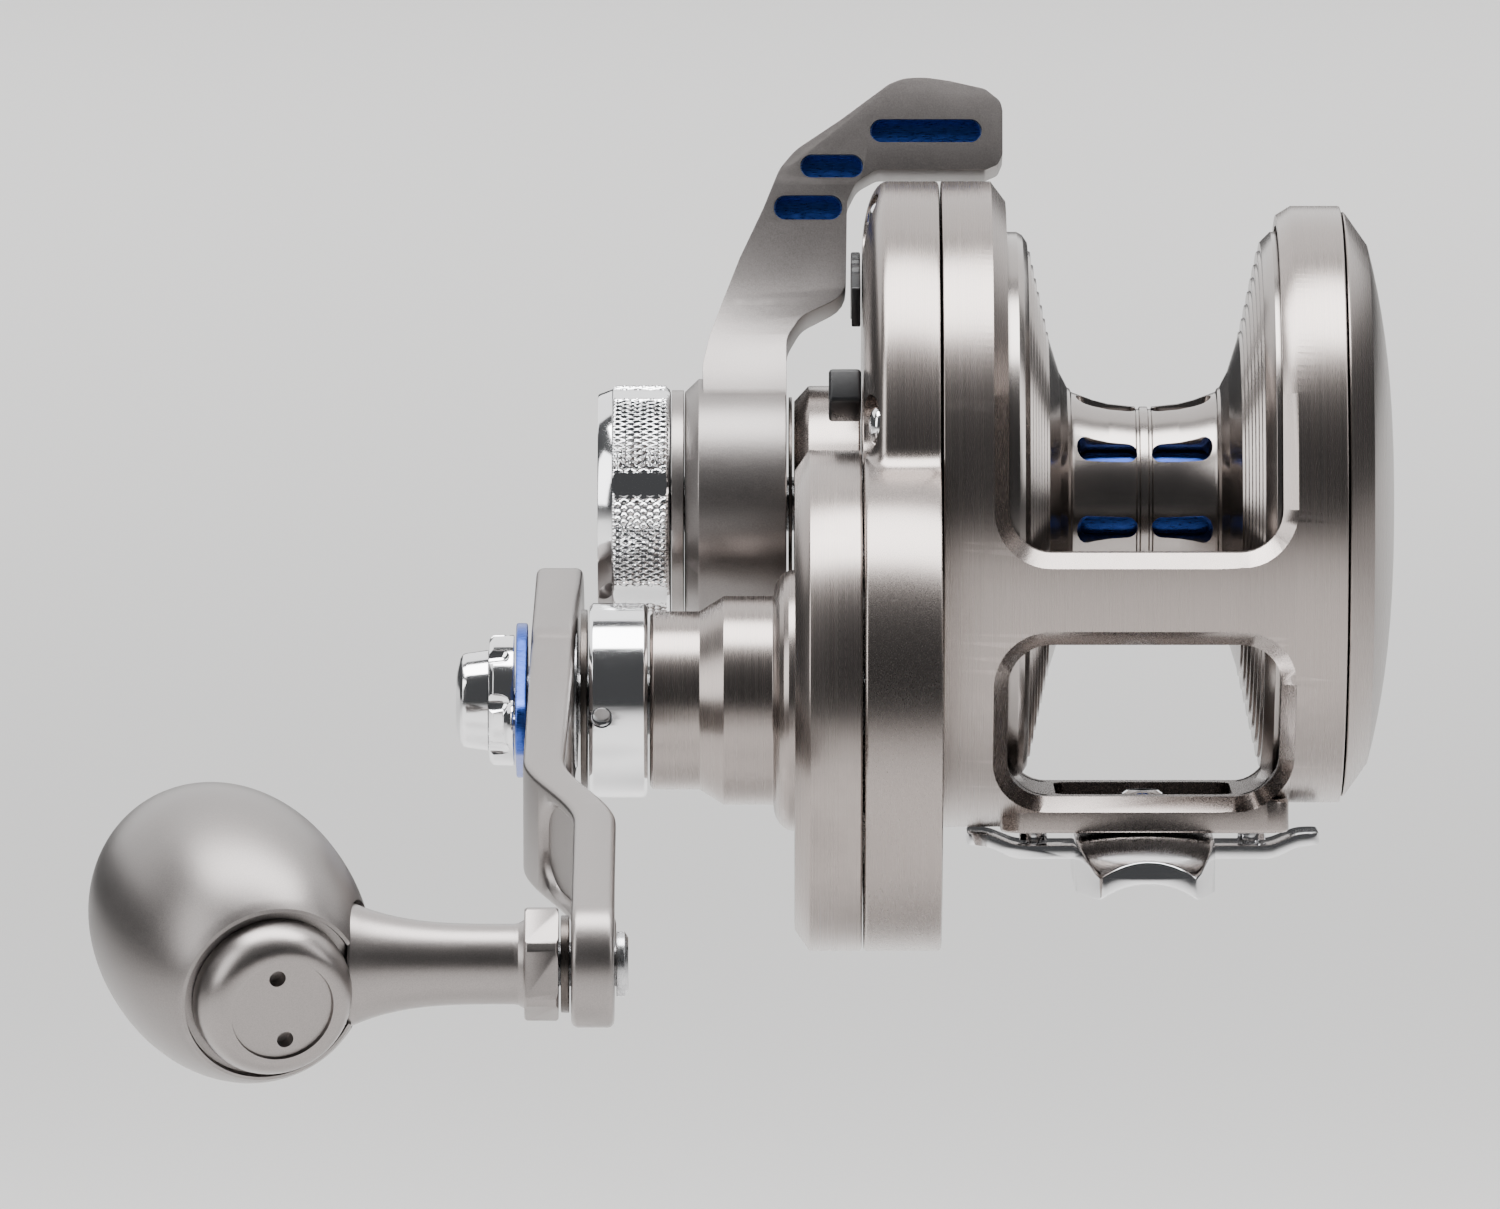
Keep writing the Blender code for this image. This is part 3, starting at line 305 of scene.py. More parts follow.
class Finish:
    """A small helper that wires one procedural material."""

    def __init__(self, name, colour, roughness, metallic):
        self.material = bpy.data.materials.new(name)
        self.material.use_nodes = True
        self.tree = self.material.node_tree
        self.shader = self.tree.nodes["Principled BSDF"]
        fill(self.shader, {"Base Color": (*colour, 1.0), "Roughness": roughness, "Metallic": metallic})
        self.place = self.node("ShaderNodeTexCoord").outputs["Object"]
        self.height = None

    def node(self, kind, values=None, **settings):
        """New node with its settings, and the values of the sockets that stay unlinked."""
        node = self.tree.nodes.new(kind)
        for key, value in settings.items():
            setattr(node, key, value)
        fill(node, values or {})
        return node

    def link(self, source, target):
        self.tree.links.new(source, target)

    def math(self, operation, first, second=None):
        node = self.node("ShaderNodeMath", operation=operation)
        for slot, value in ((0, first), (1, second)):
            if isinstance(value, (int, float)):
                node.inputs[slot].default_value = value
            elif value is not None:
                self.link(value, node.inputs[slot])
        return node.outputs[0]

    def around_axis(self, density):
        """Coordinates that only change along X and outward: the marks of a lathe."""
        parts = self.node("ShaderNodeSeparateXYZ")
        self.link(self.place, parts.inputs[0])
        square = self.math("ADD", self.math("POWER", parts.outputs[1], 2.0),
                           self.math("POWER", parts.outputs[2], 2.0))
        radius = self.math("SQRT", square)
        joined = self.node("ShaderNodeCombineXYZ")
        self.link(self.math("MULTIPLY", parts.outputs[0], density), joined.inputs[0])
        self.link(self.math("MULTIPLY", radius, density), joined.inputs[1])
        return joined.outputs[0]

    def stretched(self, stretch):
        """Coordinates scaled along each axis: marks that run one way."""
        mapping = self.node("ShaderNodeMapping", {"Scale": stretch})
        self.link(self.place, mapping.inputs["Vector"])
        return mapping.outputs[0]

    def noise(self, scale, detail=3.0, vector=None, roughness=0.5):
        node = self.node("ShaderNodeTexNoise", {"Scale": scale, "Detail": detail, "Roughness": roughness})
        self.link(vector or self.place, node.inputs["Vector"])
        return node.outputs["Fac"]

    def spread(self, value, low=0.0, high=1.0, start=0.3, end=0.7):
        """Map a value that runs from start to end to one that runs from low to high."""
        limits = {"From Min": start, "From Max": end, "To Min": low, "To Max": high}
        node = self.node("ShaderNodeMapRange", limits)
        self.link(value, node.inputs["Value"])
        return node.outputs[0]

    def bump(self, value, distance):
        """Add a height map, distance in millimetres."""
        node = self.node("ShaderNodeBump", {"Distance": distance * MM})
        self.link(value, node.inputs["Height"])
        if self.height is not None:
            self.link(self.height, node.inputs["Normal"])
        self.height = node.outputs[0]
        self.link(self.height, self.shader.inputs["Normal"])

    def roughness(self, value):
        self.link(value, self.shader.inputs["Roughness"])

    def mixed(self, factor, first, second):
        node = self.node("ShaderNodeMix", data_type="RGBA")
        self.link(factor, node.inputs[0])
        for slot, value in ((6, first), (7, second)):
            if isinstance(value, tuple):
                node.inputs[slot].default_value = (*value, 1.0)
            else:
                self.link(value, node.inputs[slot])
        return node.outputs[2]

    def colour(self, value):
        self.link(value, self.shader.inputs["Base Color"])

    def painted_edge_highlight(self):
        """Mask of the outer edges, broken up by noise, for a painted highlight in a lighter colour."""
        # Painted highlight: pointy edges get a lighter colour, as if they caught the light.
        pointy = self.node("ShaderNodeNewGeometry").outputs["Pointiness"]
        edge = self.spread(pointy, 0.0, 1.0, 0.53, 0.60)
        return self.math("MULTIPLY", edge, self.spread(self.noise(420.0, 4.0), 0.15, 0.7))


def shade(colour, factor):
    """A colour made darker or lighter, at most white."""
    return tuple(min(1.0, channel * factor) for channel in colour)


def turned_aluminium(name, colour, roughness, density=5200.0, depth=0.0003):
    """Anodised aluminium straight off a lathe: fine rings, faint bands, painted highlights on the edges."""
    finish = Finish(name, colour, roughness, 1.0)
    fine = finish.noise(1.0, 2.0, finish.around_axis(density), 0.6)
    bands = finish.noise(1.0, 2.0, finish.around_axis(density / 3.0))
    tint = finish.mixed(finish.spread(bands), shade(colour, 0.97), colour)
    # Painted highlight: a lighter copy of the colour on the edges.
    finish.colour(finish.mixed(finish.painted_edge_highlight(), tint, shade(colour, 1.35)))
    rough = finish.math("ADD", finish.spread(fine, roughness - 0.012, roughness + 0.012),
                        finish.spread(bands, -0.005, 0.005))
    finish.roughness(rough)
    finish.bump(fine, depth)
    return finish.material


def blasted_aluminium(name, colour, roughness, grain=5200.0, depth=0.006):
    """Bead-blasted and anodised: a fine even grain with soft satin patches."""
    finish = Finish(name, colour, roughness, 1.0)
    grains = finish.noise(grain, 2.0, roughness=0.7)
    coarse = finish.noise(grain / 4.0, 2.0)
    cloud = finish.noise(45.0, 3.0)
    tint = finish.mixed(finish.spread(grains), shade(colour, 0.86), shade(colour, 1.10))
    # Painted highlight: a lighter copy of the colour on the edges.
    finish.colour(finish.mixed(finish.painted_edge_highlight(), tint, shade(colour, 1.5)))
    finish.roughness(finish.math("ADD", finish.spread(grains, roughness - 0.04, roughness + 0.05),
                                 finish.spread(cloud, -0.02, 0.03)))
    finish.bump(coarse, depth * 1.2)
    finish.bump(grains, depth)
    return finish.material


def chrome(name):
    """Polished plate with faint wiping marks and a few hairline scratches."""
    colour, roughness = (0.80, 0.80, 0.81), 0.07
    finish = Finish(name, colour, roughness, 1.0)
    smear = finish.noise(90.0, 4.0)
    hairs = finish.noise(1.0, 2.0, finish.stretched((500.0, 9000.0, 2600.0)))
    finish.roughness(finish.math("ADD", finish.spread(smear, roughness, roughness + 0.07),
                                 finish.spread(hairs, 0.0, 0.04, 0.55, 0.75)))
    finish.colour(finish.mixed(finish.spread(smear), colour, shade(colour, 0.93)))
    finish.bump(hairs, 0.0012)
    return finish.material


def blue_anodised(name):
    """Deep blue dye over fine milling marks, with a paler blue painted highlight on the edges."""
    finish = Finish(name, (0.040, 0.085, 0.38), 0.3, 1.0)
    marks = finish.noise(1.0, 2.0, finish.stretched((900.0, 6500.0, 6500.0)))
    tint = finish.mixed(finish.spread(marks), (0.032, 0.070, 0.31), (0.050, 0.105, 0.44))
    # Painted highlight: a paler blue on the edges.
    finish.colour(finish.mixed(finish.painted_edge_highlight(), tint, (0.25, 0.35, 0.62)))
    finish.roughness(finish.spread(marks, 0.24, 0.38))
    finish.bump(marks, 0.003)
    return finish.material


def moulded_plastic(name):
    """Black moulded acetal with a faint grain, a few shiny rubs and a painted highlight on the edges."""
    colour = (0.006, 0.006, 0.007)
    finish = Finish(name, colour, 0.30, 0.0)
    fill(finish.shader, {"Specular IOR Level": 0.28})
    grain = finish.noise(2600.0, 3.0)
    rub = finish.noise(160.0, 3.0)
    finish.roughness(finish.math("ADD", finish.spread(rub, 0.24, 0.36), finish.spread(grain, -0.03, 0.03)))
    # Painted highlight: a slightly lighter black on the edges.
    finish.colour(finish.mixed(finish.painted_edge_highlight(), colour, (0.03, 0.03, 0.032)))
    finish.bump(grain, 0.008)
    return finish.material


def ground_steel(name, colour=(0.47, 0.47, 0.48), roughness=0.26):
    """Ground stainless steel with short straight marks."""
    finish = Finish(name, colour, roughness, 1.0)
    marks = finish.noise(1.0, 3.0, finish.stretched((7000.0, 1200.0, 1200.0)))
    finish.roughness(finish.spread(marks, roughness - 0.06, roughness + 0.10))
    finish.colour(finish.mixed(finish.spread(marks), colour, shade(colour, 0.82)))
    finish.bump(marks, 0.002)
    return finish.material


def woven_carbon(name):
    """Carbon cloth in resin: a two-by-two weave of dark tows."""
    finish = Finish(name, (0.02, 0.02, 0.022), 0.5, 0.0)
    weave = finish.node("ShaderNodeTexChecker", {"Scale": 900.0})
    finish.link(finish.place, weave.inputs["Vector"])
    finish.colour(finish.mixed(weave.outputs["Fac"], (0.012, 0.012, 0.014), (0.035, 0.035, 0.038)))
    finish.roughness(finish.spread(weave.outputs["Fac"], 0.38, 0.6, 0.0, 1.0))
    finish.bump(weave.outputs["Fac"], 0.02)
    return finish.material


# Each finish is a material and the material slot that its pieces stand for.
GREY = (turned_aluminium("grey anodised aluminium", (0.275, 0.243, 0.228), 0.27), "grey_anodised")
GREY_SATIN = (blasted_aluminium("satin grey aluminium", (0.25, 0.230, 0.222), 0.34, 6500.0, 0.002),
              "blasted_grey")
BLASTED = (blasted_aluminium("bead-blasted aluminium", (0.205, 0.190, 0.184), 0.38), "blasted_grey")
POLISHED_GREY = (turned_aluminium("grip aluminium", (0.29, 0.265, 0.252), 0.22, 7000.0, 0.0005),
                 "grey_anodised")
CHROME = (chrome("bright chrome"), "chrome")
BLUE = (blue_anodised("blue anodised aluminium"), "blue_anodised")
BLACK = (moulded_plastic("black acetal"), "black_plastic")
BRONZE = (ground_steel("dark bronze", (0.085, 0.074, 0.068), 0.30), "bronze")
STEEL = (ground_steel("ground steel"), "steel")
CARBON = (woven_carbon("woven carbon"), "carbon")
PRESET_WASHER = (GREY_SATIN[0], "bronze")

FRAME_FINISHES = {slot: material for material, slot in
                  (GREY, BLASTED, CHROME, BLUE, BLACK, BRONZE, STEEL, CARBON)}


def dress_frame():
    """Give every CAD node that stays the procedural finish of its slot."""
    for entry in frame["record"]["subparts"]:
        node = frame["nodes"][entry["node"]]
        node.data.materials.clear()
        node.data.materials.append(FRAME_FINISHES[entry["material_slot"]])
        for polygon in node.data.polygons:
            polygon.material_index = 0

# ---------------- frame and housing

WALL_LEFT, WALL_RIGHT = -28.9, 28.0
RING_RADIUS, RIM_RADIUS = 46.1, 42.6
SPOOL_ROOM, PALM_BORE, HUB_BORE = 39.8, 36.0, 13.0
WAIST_START, WAIST_END, WAIST_BLEND = 13.0, 20.6, 3.0
WINDOW_LEFT, WINDOW_RIGHT, WINDOW_CORNER = -19.7, 18.9, 6.0
BAR_TOP, BAR_BOTTOM = -4.1, -17.3
DECK_TOP, DECK_BOTTOM, DECK_HALF = -41.0, -45.8, 17.0
CHAMFER_WIDTH, CHAMFER_DEEP, CHAMFER_SHALLOW = 2.1, 2.8, 1.3
OPEN_FIRST, OPEN_SWEEP, OPEN_STEPS = 14.0, 152.0, 150
CLEAR = 12.0


def waist_share(x):
    """How far the wall has come from the handle side's ring (0) to the palm side's ring (1)."""
    return min(1.0, max(0.0, (x - WAIST_START) / (WAIST_END - WAIST_START)))


def wall_radius(x):
    """Outer radius of the frame's wall, which falls toward the palm-side ring."""
    return RING_RADIUS + (RIM_RADIUS - RING_RADIUS) * waist_share(x)


def chamfer_radius(x):
    """Radius at the bottom of the chamfer that starts at x on the wall."""
    return wall_radius(x) - CHAMFER_DEEP + (CHAMFER_DEEP - CHAMFER_SHALLOW) * waist_share(x)


def window_cutter(bottom, top, side):
    """Cutter for a window through the curved wall, with the wide chamfer round its rim."""
    inner = rounded_box(WINDOW_LEFT, WINDOW_RIGHT, bottom, top, WINDOW_CORNER)
    outer = rounded_box(WINDOW_LEFT - CHAMFER_WIDTH, WINDOW_RIGHT + CHAMFER_WIDTH,
                        bottom - CHAMFER_WIDTH, top + CHAMFER_WIDTH, WINDOW_CORNER + CHAMFER_WIDTH)
    rings = [[], [], [], []]
    for (x, z), (wide_x, wide_z) in zip(inner, outer):
        surface = sqrt(wall_radius(wide_x) ** 2 - wide_z ** 2)
        floor = sqrt(chamfer_radius(wide_x) ** 2 - z ** 2)
        rings[0].append((wide_x, side * (surface + CLEAR), wide_z))
        rings[1].append((wide_x, side * surface, wide_z))
        rings[2].append((x, side * floor, z))
        rings[3].append((x, 0.0, z))
    return loft(rings)


def top_cutter():
    """Cutter for the open top, over the spool from the front bar to the rear bar."""
    left, right = WINDOW_LEFT - CHAMFER_WIDTH, WINDOW_RIGHT + CHAMFER_WIDTH
    section = [(left, 60.0), (left, wall_radius(left)), (WINDOW_LEFT, chamfer_radius(left))]
    section += [(WINDOW_LEFT, CLEAR), (WINDOW_RIGHT, CLEAR), (WINDOW_RIGHT, chamfer_radius(right))]
    section += [(right, wall_radius(right)), (right, 60.0)]
    rings = []
    for step in range(OPEN_STEPS + 1):
        angle = radians(OPEN_FIRST + OPEN_SWEEP * step / OPEN_STEPS)
        rings.append([(x, r * cos(angle), r * sin(angle)) for x, r in section])
    return loft(rings)


def make_frame():
    """Open-top frame: both rings, front and rear bars, and the deck over the foot."""
    shell = [(WALL_LEFT, HUB_BORE), (WALL_LEFT, RING_RADIUS), (WAIST_START - WAIST_BLEND, RING_RADIUS)]
    after = WAIST_START + WAIST_BLEND
    shell += [(WAIST_START, RING_RADIUS - 0.15), (after, wall_radius(after))]
    shell += [(WAIST_END, RIM_RADIUS), (WALL_RIGHT, RIM_RADIUS), (WALL_RIGHT, PALM_BORE)]
    shell += [(WAIST_END, PALM_BORE), (WAIST_END, SPOOL_ROOM), (-26.4, SPOOL_ROOM), (-26.4, HUB_BORE)]
    wall = lathe(soften(shell, [0.2, 0.25, 0, 12, 6, 0.5, 0.25, 0, 0, 0, 0, 0], True, 5), 256, edge=0)
    deck = prism(rounded_box(-20.5, 20.5, -DECK_HALF, DECK_HALF, 3.0, 6), DECK_BOTTOM, DECK_TOP, "Z")
    wall = combine(wall, [bevelled(deck, 0.5)], "UNION")
    cutters = [top_cutter()]
    for side in (-1, 1):
        cutters.append(window_cutter(BAR_TOP, 24.0, side))
        cutters.append(window_cutter(DECK_TOP + 0.3, BAR_BOTTOM, side))
    below = [(-21.8, -24.0), (21.0, -24.0), (21.0, 24.0), (-21.8, 24.0)]
    wall = combine(wall, cutters + [prism(below, -60.0, DECK_BOTTOM, "Z")])
    holes = [prism(rounded_box(-12.6, 12.6, -11.0, 11.0, 2.5), DECK_TOP - 1.6, DECK_TOP + 3.0, "Z")]
    for x in (-16.2, 16.2):
        for y in (-12.0, 12.0):
            slot = rounded_box(x - 2.6, x + 2.6, y - 1.0, y + 1.0, 0.98, 6)
            holes.append(prism(slot, DECK_TOP - 1.2, DECK_TOP + 3.0, "Z"))
    holes.append(prism(circle((0.0, 0.0), 2.3), DECK_BOTTOM - 1.0, DECK_TOP, "Z"))
    wall = combine(wall, holes)
    add_piece("frame_body", wall, GREY, "root", "frame", SPOOL_AXIS)


def blended_ring(x, first, first_radius, second, second_radius, fillet, steps=(150, 12, 110)):
    """Outline of two overlapping circles with concave fillets, as one (x, y, z) ring."""
    gap = dist(first, second)
    heading = atan2(second[1] - first[1], second[0] - first[0])
    a, b = first_radius + fillet, second_radius + fillet
    near = acos((gap * gap + a * a - b * b) / (2 * gap * a))
    far = degrees(acos((gap * gap + b * b - a * a) / (2 * gap * b)))
    outline = arc(first, first_radius, degrees(heading + near), degrees(heading + 2 * pi - near), steps[0])
    turns = []
    for angle in (heading - near, heading + near):
        hub = (first[0] + a * cos(angle), first[1] + a * sin(angle))
        inward = degrees(angle) + 180.0
        other = degrees(atan2(second[1] - hub[1], second[0] - hub[0]))
        sweep = (other - inward + 180.0) % 360.0 - 180.0
        turns.append(arc(hub, fillet, inward, inward + sweep, steps[1])[1:-1])
    start = degrees(heading + pi) + far
    outline += turns[0] + arc(second, second_radius, start, start + 360.0 - 2.0 * far, steps[2])
    return [(x, y, z) for y, z in outline + turns[1][::-1]]


CRANK_FROM_SPOOL = (CRANK_AXIS[0] - SPOOL_AXIS[0], CRANK_AXIS[1] - SPOOL_AXIS[1])
SPOOL_FROM_CRANK = (-CRANK_FROM_SPOOL[0], -CRANK_FROM_SPOOL[1])
SIDE_BACK, SIDE_FACE = -29.2, -40.1
EDGE_LENGTH, EDGE_DROP, EDGE_ROUND = 3.5, 10.1, 0.5
LOBE_RADIUS, LOBE_EDGE = 35.3, 0.35
SCREW_SEAT, SCREW_DOME, SCREW_HEAD = -37.9, 1.58, 2.9
SCREW_PLACES = [polar(41.4, 161.0 - 60.0 * step) for step in range(4)]


def make_side_plate():
    """Handle-side plate: long elliptical edge, gear lobe blended in, scallops for screws."""
    stations = [(SIDE_BACK, 0.5), (SIDE_BACK - 0.15, 0.15), (SIDE_BACK - EDGE_ROUND, 0.0)]
    stations.append((SIDE_FACE + EDGE_LENGTH, 0.0))
    stations += quarter(stations[-1], (SIDE_FACE, EDGE_DROP), 12)
    rings = []
    for x, inset in stations:
        lobe_inset = inset if x > SIDE_BACK - EDGE_ROUND else max(0.0, SIDE_FACE + LOBE_EDGE - x)
        rings.append(blended_ring(x, (0.0, 0.0), RING_RADIUS - inset, CRANK_FROM_SPOOL,
                                  LOBE_RADIUS - lobe_inset, 5.0))
    cutters = [drill(-31.0, -60.0, 31.2, CRANK_FROM_SPOOL, 96), drill(-31.3, -62.0, 15.8)]
    cutters.append(drill(-20.0, -64.0, 8.5))
    notch = [(-37.4, 0.0), (-37.4, 3.6), (-38.3, 4.5), (-50.0, 4.5), (-50.0, 0.0)]
    for place in SCREW_PLACES:
        cutters.append(lathe(notch, 48, place, 0))
    plate = combine(loft(rings), cutters)
    add_piece("side_plate_body", plate, GREY, "root", "gear_side_plate", SPOOL_AXIS)


def hex_socket(x, radius, depth, place):
    """Cutter for a hexagon socket that opens toward -X."""
    return drill(x - 2.0, x + depth, radius, place, 6)


def make_cover_screws():
    """Polished dome-head screws in the side plate's scallops, each with a hexagon socket."""
    dome = [(SCREW_SEAT - SCREW_DOME, 0.0)]
    for step in range(9):
        lift = radians(10 + 80 * step / 8)
        dome.append((SCREW_SEAT - SCREW_DOME * cos(lift), SCREW_HEAD * sin(lift)))
    dome += [(SCREW_SEAT + 0.2, SCREW_HEAD), (SCREW_SEAT + 0.2, 0.0)]
    for index, place in enumerate(SCREW_PLACES):
        head = combine(lathe(dome, 48, place, 0), [hex_socket(-39.5, 1.15, 1.0, place)])
        add_piece(f"cover_screw_head_{index + 1}", head, CHROME, "root", f"cover_screw_{index + 1}",
                  SPOOL_AXIS)


def make_gear_lid():
    """Lid of the gear case: chamfered lobe and spool boss, stepped nose for the crank."""
    stations = [(-40.4, 0.35), (-40.7, 0.0), (-47.6, 0.0), (-47.85, 0.12), (-49.5, 2.55), (-49.8, 2.95)]
    rings = []
    for x, inset in stations:
        rings.append(blended_ring(x, (0.0, 0.0), LOBE_RADIUS - inset, SPOOL_FROM_CRANK,
                                  16.9 - inset * 0.75, 4.0, (140, 10, 48)))
    nose = [(-48.4, 0.0), (-48.4, 18.6), (-49.9, 18.4)]
    nose += quarter(nose[-1], (-52.8, 14.7), 6)
    nose += [(-59.8, 14.7), (-63.2, 12.55), (-69.7, 12.55), (-70.2, 12.0), (-70.2, 0.0)]
    lid = combine(loft(rings), [lathe(nose, 160, edge=0.25)], "UNION")
    cutters = [drill(-47.9, -30.0, 33.7, segments=96), drill(-47.6, -31.0, 13.9, SPOOL_FROM_CRANK)]
    cutters += [drill(-82.0, -32.0, 5.3, segments=48), drill(-80.0, -64.6, 9.8)]
    cutters.append(drill(-84.0, -33.0, 4.3, SPOOL_FROM_CRANK, 48))
    add_piece("gear_lid_body", combine(lid, cutters), GREY, "root", "gear_case_lid", CRANK_AXIS)


def make_stops():
    """Black strike stop and the notched quadrant rail that the lever sweeps over."""
    stop = arc((0.0, 0.0), 36.0, 144, 152.5, 8) + arc((0.0, 0.0), 28.5, 152.5, 144, 8)
    block = bevelled(prism(stop, -45.0, SIDE_FACE - 0.3), 0.7)
    add_piece("strike_stop_block", block, BLACK, "root", "strike_stop", SPOOL_AXIS)
    outer, inner = [], []
    for step in range(59):
        notch = 0.5 if step % 6 < 3 and 6 < step < 52 else 0.0
        outer.append(polar(36.0 - notch, 60 + step))
        inner.append(polar(29.5, 60 + step))
    rail = bevelled(prism(outer + inner[::-1], SIDE_FACE - 1.6, SIDE_FACE - 0.3), 0.2, 2)
    add_piece("quadrant_rail", rail, BLACK, "root", "lever_quadrant", SPOOL_AXIS)


PALM_FACE, PALM_RADIUS, PALM_CROWN = 35.7, 37.1, 3.8


def make_palm_plate():
    """Domed palm-side plate with a chamfered rim."""
    dome = [(PALM_FACE, 0.0)]
    for step in range(1, 13):
        radius = PALM_RADIUS * step / 12
        dome.append((PALM_FACE - PALM_CROWN * (radius / PALM_RADIUS) ** 2.6, radius))
    edge = [(28.3, 42.2), (28.3, 35.6), (25.8, 35.6), (25.8, 33.4), (31.0, 33.4), (31.4, 12.0)]
    plate = lathe(dome + edge + [(21.2, 12.0), (21.2, 8.3), (31.0, 8.3), (31.0, 0.0)], 224, edge=0.3)
    add_piece("palm_plate_body", plate, GREY, "root", "palm_side_plate", SPOOL_AXIS)

# ---------------- foot and rod clamp fittings

STUD_REACH = 15.6
WING_REACH, WING_HALF = 25.2, 6.5
FOOT_STATIONS = [2.0, 10.0, 20.0, 30.0, 39.0, 41.0, 42.0]
# Distance from the middle, then half width, top, edge drop and crown of the section there.
FOOT_SECTIONS = ((0.0, 10.0, 4.9, 3.0, 0.5), (20.0, 9.9, 4.9, 3.0, 0.6), (38.0, 7.8, 3.8, 2.4, 2.0),
                 (42.0, 6.7, 3.3, 2.2, 2.3))


def foot_ring(y):
    """Cross-section of the foot at y: arched top, concave seat that fits a rod."""
    along = abs(y)
    for first, second in zip(FOOT_SECTIONS, FOOT_SECTIONS[1:]):
        if first[0] <= along <= second[0]:
            share = (along - first[0]) / (second[0] - first[0])
            half, top, drop, crown = (a + (b - a) * share for a, b in zip(first[1:], second[1:]))
    places = [-1.0 + step / 12 for step in range(25)]
    ring = [(half * place, y, top - crown * place * place) for place in places]
    return ring + [(-half * place, y, -drop * abs(place) ** 2.2) for place in places]


def wing_outline():
    """Clamp wings seen from the front, (x, z): a flat strip whose ends are raised."""
    wing = [(-WING_REACH, 4.4), (-22.0, 4.2), (-18.0, 2.6), (18.0, 2.6), (22.0, 4.2), (WING_REACH, 4.4)]
    wing += [(WING_REACH, 2.7), (22.0, 2.4), (18.4, 0.7), (-18.4, 0.7), (-22.0, 2.4), (-WING_REACH, 2.7)]
    return soften(wing, [0.5, 6, 6, 6, 6, 0.5, 0.5, 5, 5, 5, 5, 0.5], True, 6)


def upright(data, x, y):
    """Stand a piece turned about X up on Z, at a place on the foot."""
    moved(data, Matrix.Rotation(-pi / 2, 4, "Y"))
    return slide(data, x, y)


def make_foot():
    """Reel foot with rounded edges and clamp wings, its two studs and nuts, and the deck screw."""
    stations = [-y for y in reversed(FOOT_STATIONS)] + FOOT_STATIONS
    foot = bevelled(loft([foot_ring(y) for y in stations]), 0.5, 3, 50)
    corners = [(-WING_REACH, -WING_HALF), (WING_REACH, -WING_HALF)]
    corners += [(WING_REACH, WING_HALF), (-WING_REACH, WING_HALF)]
    plan = prism(soften(corners, 3.0, True, 6), -1.0, 9.0, "Z")
    wings = combine(prism(wing_outline(), -WING_HALF, WING_HALF, "Y"), [plan], "INTERSECT")
    foot = combine(foot, [bevelled(wings, 0.35)], "UNION")
    holes = [prism(circle((0.0, 0.0), 1.3), 1.0, 9.0, "Z")]
    for x in (-STUD_REACH, STUD_REACH):
        holes.append(prism(circle((x, 0.0), 1.5), -5.0, 9.0, "Z"))
    add_piece("foot_body", combine(foot, holes), CHROME, "root", "reel_foot")
    for side, word in ((-1, "left"), (1, "right")):
        stud = lathe([(0.9, 0.0), (0.9, 1.1), (4.9, 1.1), (4.9, 0.0)], 40, edge=0.15)
        nut = lathe([(2.9, 1.4), (2.9, 2.0), (4.7, 2.0), (4.7, 1.4)], 64, edge=0.15)
        for kind, part in (("stud", stud), ("nut", nut)):
            name = f"clamp_{kind}_{word}"
            add_piece(f"{name}_body", upright(part, side * STUD_REACH, 0.0), CHROME, "root", name)
    low, high = span("foot_screw")
    top = high[2]
    bolt = [(low[2], 0.0), (low[2], 1.0), (top - 1.4, 1.0), (top - 1.4, 3.0), (top - 0.5, 3.0)]
    bolt += [(top, 2.3), (top, 0.0)]
    socket = drill(top - 0.9, top + 2.0, 1.2, segments=6)
    bolt = combine(lathe(bolt, 48, edge=0.12), [socket])
    add_piece("foot_screw_body", upright(bolt, 0.0, 0.0), CHROME, "root", "foot_screw")

# ---------------- lever and strike knob

LEVER_THIN, LEVER_SPREAD, LEVER_CURVE = 3.6, 11.2, 3.2
LEVER_ROOT, LEVER_FADE = 10.0, 46.0
POCKET_DEPTH, HUB_ROOM = 2.0, 9.9


def lever_outline():
    """Side outline of the lever above its hub, (x, height above the spool axis)."""
    outline = [(-62.6, 10.0), (-62.9, 18.5), (-61.9, 23.2), (-60.2, 28.2), (-57.6, 35.2)]
    outline += [(-54.2, 42.6), (-51.9, 48.4), (-49.6, 51.2), (-43.3, 55.5), (-36.2, 60.9)]
    outline += [(-34.0, 61.8), (-31.1, 61.9), (-27.6, 61.4), (-22.4, 60.2), (-20.2, 58.4)]
    outline += [(-19.9, 57.0), (-19.9, 50.6), (-20.6, 49.0), (-22.4, 48.2), (-38.0, 48.2)]
    outline += [(-40.8, 46.6), (-42.2, 43.8), (-42.4, 29.6), (-48.8, 26.4), (-50.9, 23.0), (-50.9, 10.0)]
    radii = [0, 8, 20, 30, 30, 20, 6, 8, 10, 5, 6, 10, 10, 2, 2, 1, 1, 1, 1, 2.5, 3, 3, 4, 4, 4, 0]
    return soften(outline, radii, True, 4)


def lever_half(height):
    """Half thickness of the blade: thick at the hub, thin toward its head."""
    fade = min(1.0, max(0.0, (LEVER_FADE - height) / (LEVER_FADE - LEVER_ROOT)))
    return LEVER_THIN + LEVER_SPREAD * fade ** LEVER_CURVE


def lever_pockets():
    """Outlines of the three recesses in the lever's front face, (x, height)."""
    return [rounded_box(-38.9, -22.9, 52.3, 55.7, 1.65), rounded_box(-48.9, -39.9, 47.1, 50.5, 1.65),
            rounded_box(-52.7, -42.9, 40.9, 44.5, 1.7)]


